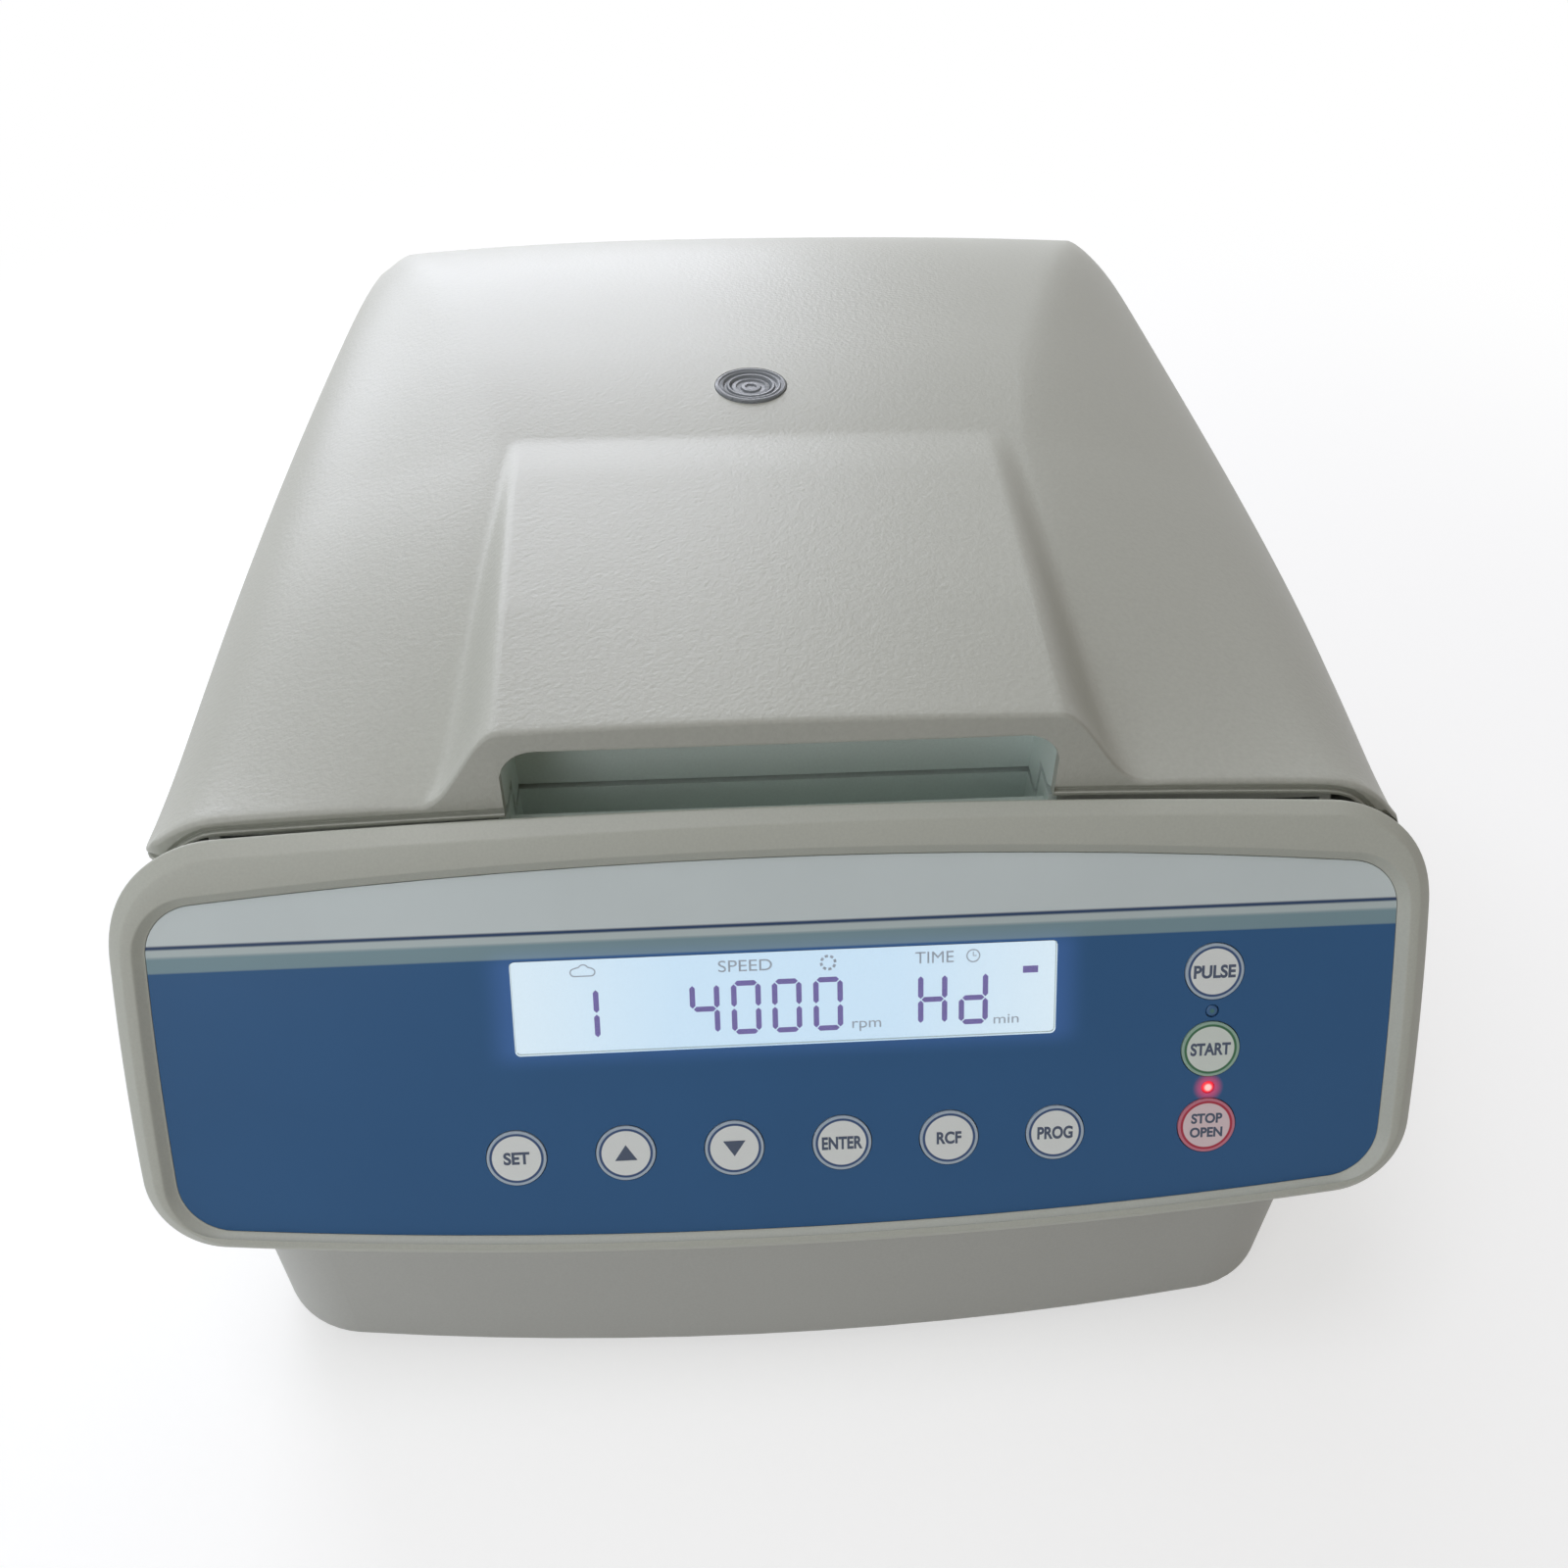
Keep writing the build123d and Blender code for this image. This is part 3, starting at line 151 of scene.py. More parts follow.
def corner_arc(a, ra, b, rb, r, near):
    """Centre of the circle of radius r that touches the inside of both circles, next to a corner."""
    da, db, gap = ra - r, rb - r, np.linalg.norm(b - a)
    along = (gap ** 2 + da ** 2 - db ** 2) / (2 * gap)
    away = math.sqrt(max(da ** 2 - along ** 2, 0.0))
    unit = (b - a) / gap
    side = np.array([-unit[1], unit[0]])
    picks = [a + unit * along + side * s * away for s in (-1, 1)]
    return min(picks, key=lambda c: np.linalg.norm(c - near))


class Outline:
    """Four bowed sides and four rounded corners, walked anticlockwise from the low side's left end."""

    def __init__(self, half, side_bow, low, low_bow, high, high_bow, low_corner, high_corner):
        y0, y1 = low + low_bow, high - high_bow
        tips = [(-half, y0), (half, y0), (half, y1), (-half, y1)]
        bows = [low_bow, side_bow, high_bow, side_bow]
        rounds = [low_corner, low_corner, high_corner, high_corner]
        sides = [arc_through(tips[i], tips[(i + 1) % 4], bows[i]) for i in range(4)]
        self.corners = [corner_arc(*sides[i - 1], *sides[i], rounds[i], np.array(tips[i])) for i in range(4)]
        self.rounds, self.sides = rounds, sides

    def loop(self, per_side=60, per_corner=24):
        """Points and outward normals: each side arc, then the corner arc that follows it."""
        points, normals = [], []
        for i in range(4):
            centre, radius = self.sides[i]
            here, after = self.corners[i], self.corners[(i + 1) % 4]
            a0 = math.atan2(*(here - centre)[::-1])
            a1 = math.atan2(*(after - centre)[::-1])
            a1 += 2 * math.pi * ((a1 < a0) and a0 - a1 > math.pi)
            angle = np.linspace(a0, a1, per_side, endpoint=False)
            unit = np.stack([np.cos(angle), np.sin(angle)], -1)
            points.append(centre + radius * unit)
            normals.append(unit)
            c2, r2 = self.sides[(i + 1) % 4]
            b1 = math.atan2(*(after - c2)[::-1])
            b1 += 2 * math.pi * (b1 < a1 - math.pi)
            angle = np.linspace(a1, b1, per_corner, endpoint=False)
            unit = np.stack([np.cos(angle), np.sin(angle)], -1)
            points.append(after + self.rounds[(i + 1) % 4] * unit)
            normals.append(unit)
        return np.concatenate(points), np.concatenate(normals)


BEZEL = Outline(half=178, side_bow=2, low=0, low_bow=10.6, high=130.9, high_bow=5.2,
                low_corner=24, high_corner=33)
OVERLAY = Outline(half=167.8, side_bow=1, low=7.7, low_bow=9.2, high=117.3, high_bow=8.3,
                  low_corner=15, high_corner=14)
print("bezel loop", BEZEL.loop()[0].min(0).round(1), BEZEL.loop()[0].max(0).round(1))

# %% [markdown]
# ## Colours and finishes
# Colours are picked as screen colours and turned into light values by one function, because the
# shader works in light values. One more function adds a shader node, sets its numbers and joins its
# sockets. Patterns read the place on the object, in metres, so they lie still on every piece.

# %% Colour and node helpers
def light(code):
    """Screen colour #rrggbb to linear light: below 0.04045 a straight line, above it a power of 2.4."""
    parts = np.array([int(code[i:i + 2], 16) for i in (1, 3, 5)]) / 255
    linear = np.where(parts <= 0.04045, parts / 12.92, ((parts + 0.055) / 1.055) ** 2.4)
    return (*linear.tolist(), 1.0)


def add(tree, kind, links=None, **settings):
    """Adds a node: settings are its fields or input values, and links join its inputs to output sockets."""
    made = tree.nodes.new(kind)
    for key, value in settings.items():
        if hasattr(made, key):
            setattr(made, key, value)
        else:
            made.inputs[key.replace("_", " ")].default_value = value
    for socket, source in (links or {}).items():
        tree.links.new(source, made.inputs[socket])
    return made


def new_finish(name, **fixed):
    """An empty material with its shader's fixed sockets set: returns it, its node tree and the shader."""
    finish = bpy.data.materials.new(name)
    finish.use_nodes = True
    tree = finish.node_tree
    shader = tree.nodes["Principled BSDF"]
    for socket, value in fixed.items():
        shader.inputs[socket.replace("_", " ")].default_value = value
    return finish, tree, shader


def join(shader, sources):
    """Joins output sockets to the shader's inputs by the inputs' names."""
    for socket, source in sources.items():
        shader.id_data.links.new(source, shader.inputs[socket])


def object_place(tree, centre=(0, 0, 0)):
    """Object coordinates in metres, counted from a centre in millimetres."""
    here = add(tree, "ShaderNodeTexCoord").outputs["Object"]
    moved = add(tree, "ShaderNodeVectorMath", {0: here}, operation="SUBTRACT")
    moved.inputs[1].default_value = tuple(c * MM for c in centre)
    return moved.outputs[0]


print("casing grey in light values", [round(c, 3) for c in light("#c9cac7")[:3]])

# %% [markdown]
# Real surfaces vary: their grain scatters the light, their colour wanders, and both have a size in
# millimetres. Each finish asks for the same few things, so each of those gets a function: noise of
# a size, a value stretched to other limits, a bump, a colour between two. A finish then reads as a
# short list of what happens to the surface.

# %% What finishes have in common
def per_mm(size):
    """Texture scale, in repeats per metre, that gives one repeat every size millimetres."""
    return 1000.0 / size


def noise(tree, place, size, detail=2.0, roughness=0.5):
    """Soft noise that repeats about every size millimetres; detail and roughness add finer noise to it."""
    return add(tree, "ShaderNodeTexNoise", {"Vector": place}, Scale=per_mm(size), Detail=detail,
               Roughness=roughness).outputs[0]


def stretched(tree, value, low, high, **limits):
    """A value between 0 and 1, or between other limits, stretched to run from low to high."""
    return add(tree, "ShaderNodeMapRange", {"Value": value}, To_Min=low, To_Max=high, **limits).outputs[0]


def relief(tree, height, strength, depth):
    """A bump from a height between 0 and 1 that stands for depth millimetres."""
    return add(tree, "ShaderNodeBump", {"Height": height}, Strength=strength, Distance=depth * MM).outputs[0]


def between(tree, share, low, high):
    """The low colour where the share is 0, the high colour where it is 1."""
    return add(tree, "ShaderNodeMix", {"Factor": share}, data_type="RGBA", A=low, B=high).outputs["Result"]


def mottled(tree, share, colour, down, up):
    """A colour that wanders between darker by the factor down and lighter by the factor up."""
    tone = np.array(light(colour)[:3])
    return between(tree, share, (*(tone * down), 1), (*np.minimum(tone * up, 1), 1))


def toned(tree, colour, factor):
    """A colour multiplied by a value."""
    return add(tree, "ShaderNodeVectorMath", {0: colour, 3: factor}, operation="SCALE").outputs[0]


def reckon(tree, operation, first, second=0.0):
    """A sum of two values; the second is a socket or a plain number."""
    linked = isinstance(second, bpy.types.NodeSocket)
    made = add(tree, "ShaderNodeMath", {0: first, 1: second} if linked else {0: first}, operation=operation)
    if not linked:
        made.inputs[1].default_value = second
    return made.outputs[0]


print("a grain of 1.5 mm repeats", round(per_mm(1.5)), "times in a metre")

# %% [markdown]
# ### Moulded plastic
# The casing is injection-moulded plastic. The mould is etched by sparks, which leaves a fine, even,
# pebbly grain. It scatters highlights, so the lid looks soft and slightly sparkling. The real grain
# is a few tenths of a millimetre across; the lid's is drawn at 1.5 mm, because finer would not show.
# The bump is a noise at that size, with finer noise in it, and a slow noise shifts the colour by a
# few percent, as a large moulding's cooling does. The panel and the casing are smoother, and the
# liner is sheet drawn over a form, with a soft blurred grain. The recess gets a paler grey with a
# green tint: painted light, lighter than its plastic, so the shaded finger pocket is not so dark.

# %% Moulded plastic
def moulded_plastic(name, colour, grain=0.9, depth=0.05, rough=0.5, drift=0.03):
    """Grain and depth in millimetres; drift is how far the colour wanders from lighter to darker."""
    finish, tree, shader = new_finish(name, Specular_IOR_Level=0.45)
    place = object_place(tree)
    shift = mottled(tree, noise(tree, place, 70, 3.0), colour, 1 - drift, 1 + drift)
    pebble = noise(tree, place, grain, roughness=0.6)
    speck = stretched(tree, pebble, 0.965, 1.03, From_Min=0.3, From_Max=0.7)
    join(shader, {"Base Color": toned(tree, shift, speck),
                  "Roughness": stretched(tree, pebble, rough - 0.08, rough + 0.08),
                  "Normal": relief(tree, pebble, 0.6, depth)})
    return finish


LID_GREY = moulded_plastic("abs_light_grey_spark_grain", "#b6b8af", grain=1.5, depth=0.26, rough=0.4)
PANEL_GREY = moulded_plastic("abs_panel_grey_fine_grain", "#bec1b7", grain=0.7, depth=0.035, rough=0.42)
CASING_GREY = moulded_plastic("abs_casing_grey_fine_grain", "#bfc1bc", grain=0.8, depth=0.04, rough=0.52)
# Painted light: the recess colour is paler than its real plastic, standing in for light in the shaded pocket.
RECESS_PAINTED_LIGHT = moulded_plastic("abs_recess_grey_painted_light", "#e6f1ec", grain=0.8, depth=0.03, rough=0.4)
LINER_GREY = moulded_plastic("vacuum_formed_liner_grey", "#b4b7b3", grain=1.4, depth=0.03, rough=0.45)
print("moulded plastics", 5)

# %% [markdown]
# ### Metal
# Machined metal shows the path of its tool: rings around the axis where it was turned, and long
# scratches where bar or sheet was drawn. Both are one noise, stretched. For rings the noise reads
# only the distance from the axis and the height, so it stays the same all the way round. Zinc
# plate, castings, paint and enamel have no direction: their skin is an even noise, coarse on cast
# metal and slow on the glassy enamel. Paint and enamel are not metallic.

# %% Metal
def worked_metal(name, colour, lay="drawn", centre=(0, 0, 0), along=0, rough=0.3, scratch=0.35, metallic=1.0):
    """lay is turned (rings round an upright axis), drawn (scratches along x, y or z: 0, 1, 2) or cast."""
    finish, tree, shader = new_finish(name, Metallic=metallic)
    pattern = place = object_place(tree, centre)
    if lay == "turned":
        parts = add(tree, "ShaderNodeSeparateXYZ", {0: place})
        flat = add(tree, "ShaderNodeCombineXYZ", {0: parts.outputs[0], 1: parts.outputs[1]})
        radius = add(tree, "ShaderNodeVectorMath", {0: flat.outputs[0]}, operation="LENGTH").outputs["Value"]
        pattern = add(tree, "ShaderNodeCombineXYZ", {0: radius, 1: parts.outputs[2]}).outputs[0]
    elif lay == "drawn":
        longer = add(tree, "ShaderNodeVectorMath", {0: place}, operation="MULTIPLY")
        longer.inputs[1].default_value = [0.02 if axis == along else 1.0 for axis in range(3)]
        pattern = longer.outputs[0]
    fine = noise(tree, pattern, scratch, 4.0, 0.7)
    join(shader, {"Base Color": mottled(tree, noise(tree, place, 14, 3.0), colour, 0.86, 1.12),
                  "Roughness": stretched(tree, fine, rough * 0.7, rough * 1.4),
                  "Normal": relief(tree, fine, 0.35, 0.02)})
    return finish


TURNED_STEEL = worked_metal("steel_turned_bright", "#b9babc", "turned", (0, ROTOR_Y, 0), rough=0.22)
DRAWN_STEEL_X = worked_metal("steel_bar_drawn", "#aeb0b2", "drawn", along=0, rough=0.26)
SPRING_STEEL = worked_metal("stainless_sheet_brushed", "#bcbec0", "drawn", along=2, rough=0.3, scratch=0.25)
ZINC = worked_metal("steel_pressed_zinc_plated", "#a9acad", "cast", rough=0.4, scratch=0.8)
TURNED_ALU = worked_metal("aluminium_turned_anodised", "#b4b7ba", "turned", (0, ROTOR_Y, 0), rough=0.34)
CAST_ALU = worked_metal("aluminium_plate_cast_skin", "#8f9193", "cast", rough=0.5, scratch=1.2)
BLACK_PAINT = worked_metal("steel_painted_black", "#1c1c1f", "cast", rough=0.45, scratch=0.9, metallic=0.0)
BRIGHT_RING = worked_metal("bearing_steel_ground", "#d4d5d6", "turned", (0, ROTOR_Y, 0), rough=0.14,
                           scratch=0.2)
ENAMEL = worked_metal("bowl_enamel_off_white", "#dcdad2", "cast", rough=0.25, scratch=2.5, metallic=0.0)
print("metals and paints", 9)

# %% [markdown]
# ### Rubber and hard plastic
# Rubber feet are dull and slightly uneven, because they hold dust. Silicone is a little smoother.
# Nylon and acetal slide well, since they are dense and waxy: a satin shine with hardly any grain.
# All of them are moulded, so the moulded plastic makes them with other numbers.

# %% Rubber and hard black plastic
RUBBER = moulded_plastic("rubber_black_moulded", "#2b2b2c", grain=0.6, depth=0.05, rough=0.72, drift=0.15)
GASKET = moulded_plastic("silicone_gasket_grey", "#5f6162", grain=0.5, depth=0.03, rough=0.6, drift=0.08)
BLACK_PLASTIC = moulded_plastic("nylon_black_satin", "#232425", grain=0.5, depth=0.02, rough=0.38, drift=0.1)
WHITE_ACETAL = moulded_plastic("acetal_white_turned", "#e3e2dc", grain=0.4, depth=0.01, rough=0.35,
                               drift=0.02)
print("rubbers and hard plastics", 4)

# %% [markdown]
# ### Circuit board
# A board is glass cloth under green lacquer, and its copper tracks show as paler raised lines. A
# brick pattern gives such lines with one node: narrow joints for the tracks, shifted from row to row.

# %% Circuit board
def circuit_board(name, mask, trace):
    """Green lacquer over copper: a brick pattern of narrow raised lines stands for the tracks under it."""
    finish, tree, shader = new_finish(name)
    place = object_place(tree)
    tracks = add(tree, "ShaderNodeTexBrick", {"Vector": place}, offset=0.37, squash=0.6, squash_frequency=3,
                 Scale=per_mm(9), Mortar_Size=0.05, Mortar=light(trace), Color1=light(mask),
                 Color2=light(mask))
    join(shader, {"Base Color": tracks.outputs["Color"],
                  "Roughness": stretched(tree, noise(tree, place, 0.7), 0.25, 0.45),
                  "Normal": relief(tree, tracks.outputs["Fac"], 0.5, 0.05)})
    return finish


BOARD = circuit_board("circuit_board_green_lacquer", "#1f5a35", "#2f7a48")
print("tracks every 9 mm on", BOARD.name)

# %% [markdown]
# ### Clear plastic
# The display window is clear acrylic, almost without haze. The port is polycarbonate that has gone
# smoky: it scatters light, and only a quarter goes through. Both have a faint ripple from the mould.

# %% Clear plastic
def clear_plastic(name, tint, rough=0.06, ripple=0.01, gloss=0.5, through=1.0):
    """Light goes through, with haze and a moulded ripple; through is the share that a worn piece lets by."""
    finish, tree, shader = new_finish(name, Base_Color=light(tint), Transmission_Weight=through, IOR=1.49,
                                      Specular_IOR_Level=gloss)
    wave = noise(tree, object_place(tree), 6)
    join(shader, {"Roughness": stretched(tree, wave, rough * 0.5, rough * 1.5),
                  "Normal": relief(tree, wave, 0.2, ripple)})
    return finish


CLEAR_WINDOW = clear_plastic("acrylic_window_clear", "#fbfcfd", rough=0.03, ripple=0.004)
CLEAR_PORT = clear_plastic("polycarbonate_port_smoked", "#90959a", rough=0.3, gloss=0.2, through=0.25)
print("clear plastics", 2)

# %% [markdown]
# ## The light
# A lab is a wide, even light: pale walls and ceiling, a little dimmer and warmer on the right. The
# world gives that light. Four lamps shape it. A large one low behind the machine, like a window,
# gives the lid its soft shine, and a small one far to its left draws a sharper streak there. A weak
# one overhead and a weaker one at the front left give the panel and the casing their modelling.

# %% World and lamps
def area_lamp(name, place, aim, size, power, colour):
    """A square lamp at a place in millimetres, turned to face its aim; power in watts."""
    lamp = bpy.data.lights.new(name, "AREA")
    lamp.shape, lamp.size, lamp.energy, lamp.color = "SQUARE", size * MM, power, light(colour)[:3]
    holder = bpy.data.objects.new(name, lamp)
    bpy.context.scene.collection.objects.link(holder)
    holder.location = Vector(place) * MM
    holder.rotation_mode = "QUATERNION"
    holder.rotation_quaternion = (Vector(aim) - Vector(place)).to_track_quat("-Z", "Y")


def seen_directly(tree):
    """1 for a camera, glossy or transmission ray, 0 for the rays that carry light."""
    path = add(tree, "ShaderNodeLightPath")
    first = reckon(tree, "MAXIMUM", path.outputs["Is Camera Ray"], path.outputs["Is Glossy Ray"])
    return reckon(tree, "MAXIMUM", first, path.outputs["Is Transmission Ray"])


scene = bpy.context.scene
scene.view_settings.view_transform = "Standard"
room = bpy.data.worlds.new("lab_room")
scene.world = room
room.use_nodes = True
sky = room.node_tree
sky.nodes.clear()
facing = add(sky, "ShaderNodeTexCoord").outputs["Generated"]
side = add(sky, "ShaderNodeVectorMath", {0: facing}, operation="DOT_PRODUCT")
side.inputs[1].default_value = (-0.85, 0.15, 0.5)
share = stretched(sky, side.outputs["Value"], 0, 1, From_Min=-0.2, From_Max=0.7)
walls = between(sky, share, light("#705829"), light("#fbfcff"))
ceiling = add(sky, "ShaderNodeBackground", {"Color": walls}, Strength=0.53)
backdrop = add(sky, "ShaderNodeBackground", Color=(1, 1, 1, 1), Strength=1.0)
both = add(sky, "ShaderNodeMixShader", {0: seen_directly(sky), 1: ceiling.outputs[0], 2: backdrop.outputs[0]})
add(sky, "ShaderNodeOutputWorld", {"Surface": both.outputs[0]})
for lamp in (("window_behind", (-450, 1700, 950), (0, 50, 200), 1300, 22.0, "#f2f4ff"),
             ("window_back_left", (-1150, 1500, 520), (0, 0, 200), 280, 2.2, "#f2f4ff"),
             ("ceiling_panel", (-250, -300, 1500), (0, -100, 200), 500, 4.0, "#fbfaff"),
             ("bench_lamp", (-420, -760, 450), (-60, -220, 130), 350, 0.8, "#f4f8ff")):
    area_lamp(*lamp)

# %% [markdown]
# ## The floor
# The bench top is a wide pale disc. A camera ray sees some white of its own as well as the lamps'
# light there, so the bench looks white and still keeps the shadow, and further out it fades into
# plain white. Rays that carry light see an ordinary pale laminate.

# %% Floor
FLOOR_RINGS = np.array([300.0, 600, 1200, 2400, 6000])
FLOOR_SIDES = 64
ring = np.column_stack([circle_points(FLOOR_SIDES), np.zeros(FLOOR_SIDES)])
floor_faces = grid_faces(len(FLOOR_RINGS), FLOOR_SIDES, wrap=True)[:, ::-1].tolist()
floor_faces.append(list(range(FLOOR_SIDES)))
floor = make_piece("floor", FLOOR_RINGS[:, None, None] * ring[None], floor_faces)

floor_finish = bpy.data.materials.new("bench_pale_laminate")
floor_finish.use_nodes = True
tree = floor_finish.node_tree
tree.nodes.clear()
away = add(tree, "ShaderNodeVectorMath", {0: object_place(tree)}, operation="LENGTH")
fade = stretched(tree, away.outputs["Value"], 0, 1, interpolation_type="SMOOTHSTEP", From_Min=0.42,
                 From_Max=0.95)
tint = between(tree, noise(tree, object_place(tree), 3), light("#bfc0c0"), light("#c3c4c4"))
lit = add(tree, "ShaderNodeBsdfDiffuse", {"Color": tint})
own = add(tree, "ShaderNodeEmission", Color=(1, 1, 1, 1), Strength=0.58)
near = add(tree, "ShaderNodeAddShader", {0: lit.outputs[0], 1: own.outputs[0]})
white = add(tree, "ShaderNodeEmission", Color=(1, 1, 1, 1), Strength=1.0)
shown = add(tree, "ShaderNodeMixShader", {0: fade, 1: near.outputs[0], 2: white.outputs[0]})
bounce = add(tree, "ShaderNodeBsdfDiffuse", Color=light("#e4e4e2"))
chosen = add(tree, "ShaderNodeMixShader", {0: seen_directly(tree), 1: bounce.outputs[0], 2: shown.outputs[0]})
add(tree, "ShaderNodeOutputMaterial", {"Surface": chosen.outputs[0]})
floor.data.materials.append(floor_finish)
print("floor reaches", FLOOR_RINGS[-1] * MM, "m")

# %% [markdown]
# ## The camera
# The camera stands over the front of the bench, close to the machine, and looks down at the panel
# and the lid. From so near, the lens is wide and the lid narrows visibly towards the back. Its turn
# is given by three angles, from which come the directions ahead, right and up.

# %% Camera
CAMERA_PLACE = (-18.14, -437.67, 449.35)
YAW, PITCH, ROLL = (math.radians(a) for a in (3.965, 42.149, 0.652))
ahead = Vector((math.sin(YAW) * math.cos(PITCH), math.cos(YAW) * math.cos(PITCH), -math.sin(PITCH)))
right = Vector((math.cos(YAW), -math.sin(YAW), 0))
above = right.cross(ahead)
tilted_right = right * math.cos(ROLL) + above * math.sin(ROLL)
tilted_up = above * math.cos(ROLL) - right * math.sin(ROLL)
lens = bpy.data.cameras.new("camera")
lens.sensor_width, lens.lens, lens.clip_start, lens.clip_end = 36.0, 31.86, 0.02, 50.0
camera = bpy.data.objects.new("camera", lens)
scene.collection.objects.link(camera)
turned = Matrix((tilted_right, tilted_up, -ahead)).transposed().to_4x4()
camera.matrix_world = Matrix.Translation(Vector(CAMERA_PLACE) * MM) @ turned
scene.camera = camera
print("camera at", CAMERA_PLACE, "lens", lens.lens)

# %% [markdown]
# ## The lid
# The lid is one large moulding. It is crowned from front to back, its sides fall away past a soft
# ridge, and a raised pad with flared flanks runs from the finger opening up to the crown. It leans
# a few millimetres to its right, as a large moulding can. The shape is a height for every place in
# plan, so it is made as one grid with rings of points around it for the rolled edge, the skirt and
# the lip. The grid has more columns where the flanks curve and more rows at the pad's end.

# %% Lid heights
CROWN_HEIGHT, CROWN_AT = 228.5, 0.54
FRONT_DROP, BACK_DROP = 27.8, 38.6
SIDE_HEIGHT = 187.0


def crown_height(x, y):
    """A long arch from front to back, s of the way along; past a ridge each side falls, steepest at its edge.

    The arch drops by a power of the distance from the crown, front and back, and a little more towards
    the back corners. The ridge is the half width of the flat part; the lean moves both ridges sideways."""
    s = np.clip((y - LID_FRONT_Y) / LID_LONG, 0, 1)
    top = (CROWN_HEIGHT - FRONT_DROP * (np.maximum(CROWN_AT - s, 0) / CROWN_AT) ** 1.96
           - BACK_DROP * (np.maximum(s - CROWN_AT, 0) / (1 - CROWN_AT)) ** 3.25)
    top = top - (4.5 - 1.2 * np.sign(x)) * (np.abs(x) / 150) ** 2.4 * smooth_step((s - 0.45) / 0.5)
    ridge = 86 + 79 * np.clip((s - 0.36) / 0.6, 0, 1) ** 1.3 - 9 * smooth_step((s - 0.8) / 0.2)
    edge = 170 + 6 * (1 - (2 * s - 1) ** 2)
    edge_height = np.minimum(SIDE_HEIGHT + 14 * np.exp(-12 * s), top)
    lean = np.where(x > 0, 2 + s + 2.5 * np.exp(-5 * s), 2 + 3 * s)
    fall = np.maximum(0, (np.abs(x - lean) - ridge) / (edge - ridge))
    return top - (top - edge_height) * (0.82 * fall ** 1.35 + 0.18 * fall ** 8)


def over_bezel(x, y):
    """Height at which a point just clears the bezel's top, whose outline falls away at its corners."""
    rim = BEZEL.loop(200, 60)[0]
    rim = rim[rim[:, 1] > 60]
    order = np.argsort(rim[:, 0])
    bezel_top = np.interp(x, rim[order, 0], rim[order, 1])
    return PANEL_FOOT[2] + (bezel_top + 1.3 - (y - PANEL_FOOT[1]) * math.sin(TILT)) / math.cos(TILT)


def corner_drop(x, y):
    """How far the crown comes down to stay 3.3 mm over the bezel at the front; it dies out in 45 mm."""
    across = np.linspace(-176, 176, 177)
    spare = crown_height(across, LID_FRONT_Y) - over_bezel(across, LID_FRONT_Y) - 3.3
    return np.interp(x, across, np.maximum(spare, 0)) * np.exp(-np.maximum(y - LID_FRONT_Y - 5, 0) / 45)


PAD_X, PAD_HALF, PAD_LONG, PAD_HEIGHT = 1.4, 73, 156.0, 226.7


def lid_height(x, y):
    """The higher of the crown and the pad, whose flanks come down by a smooth step and flare at the front.

    The pad's top bulges by 0.7 mm and dips where it meets the crown. Its flat part ends at inner and its
    flank at outer, both counted aside from the pad's middle line."""
    crown = crown_height(x, y) - corner_drop(x, y)
    along = y - LID_FRONT_Y
    back = along / PAD_LONG
    flat = PAD_HEIGHT + 0.7 * (1 - ((along - 78) / 78) ** 2) - 1.5 * smooth_step((along - 122) / 40)
    aside = np.abs(x - PAD_X)
    flat = flat - 1.5 * (aside / PAD_HALF) ** 2 * np.clip(1 - 3 * back, 0, 1)
    inner = PAD_HALF + 6 * back - 3.2 * (x > 0)
    outer = 93 - 10 * back + 5 * np.exp(-np.maximum(along, 0) / 6)
    flank = 1 - smooth_step((aside - inner) / (outer - inner))
    return crown + np.maximum(flat - crown, 0) * flank * (back < 1.02)


print("lid heights front, crown, back", [round(float(lid_height(0.0, y)), 1) for y in (-168, 48, 233)])


# %% Lid grid
BORDER_IN = 4.0
STRAIGHT_HALF = 120.0
FRONT_CORNER, BACK_CORNER = 6, 20
GRID_LONG = LID_LONG - 2 * BORDER_IN


def lid_rows():
    """Places along the lid, closer together in the corners and where the pad ends, near 156 mm."""
    front = (FRONT_CORNER - BORDER_IN) * (1 - np.cos(np.linspace(0, math.pi / 2, 6)))
    back = (BACK_CORNER - BORDER_IN) * (1 - np.cos(np.linspace(math.pi / 2, 0, 11)))
    middle = [np.arange(3, 13, 1.4), np.arange(13, 148, 3.6), np.arange(148, 160, 1.0),
              np.arange(160, GRID_LONG - 18, 4.5)]
    return np.concatenate([front, *middle, GRID_LONG - back])


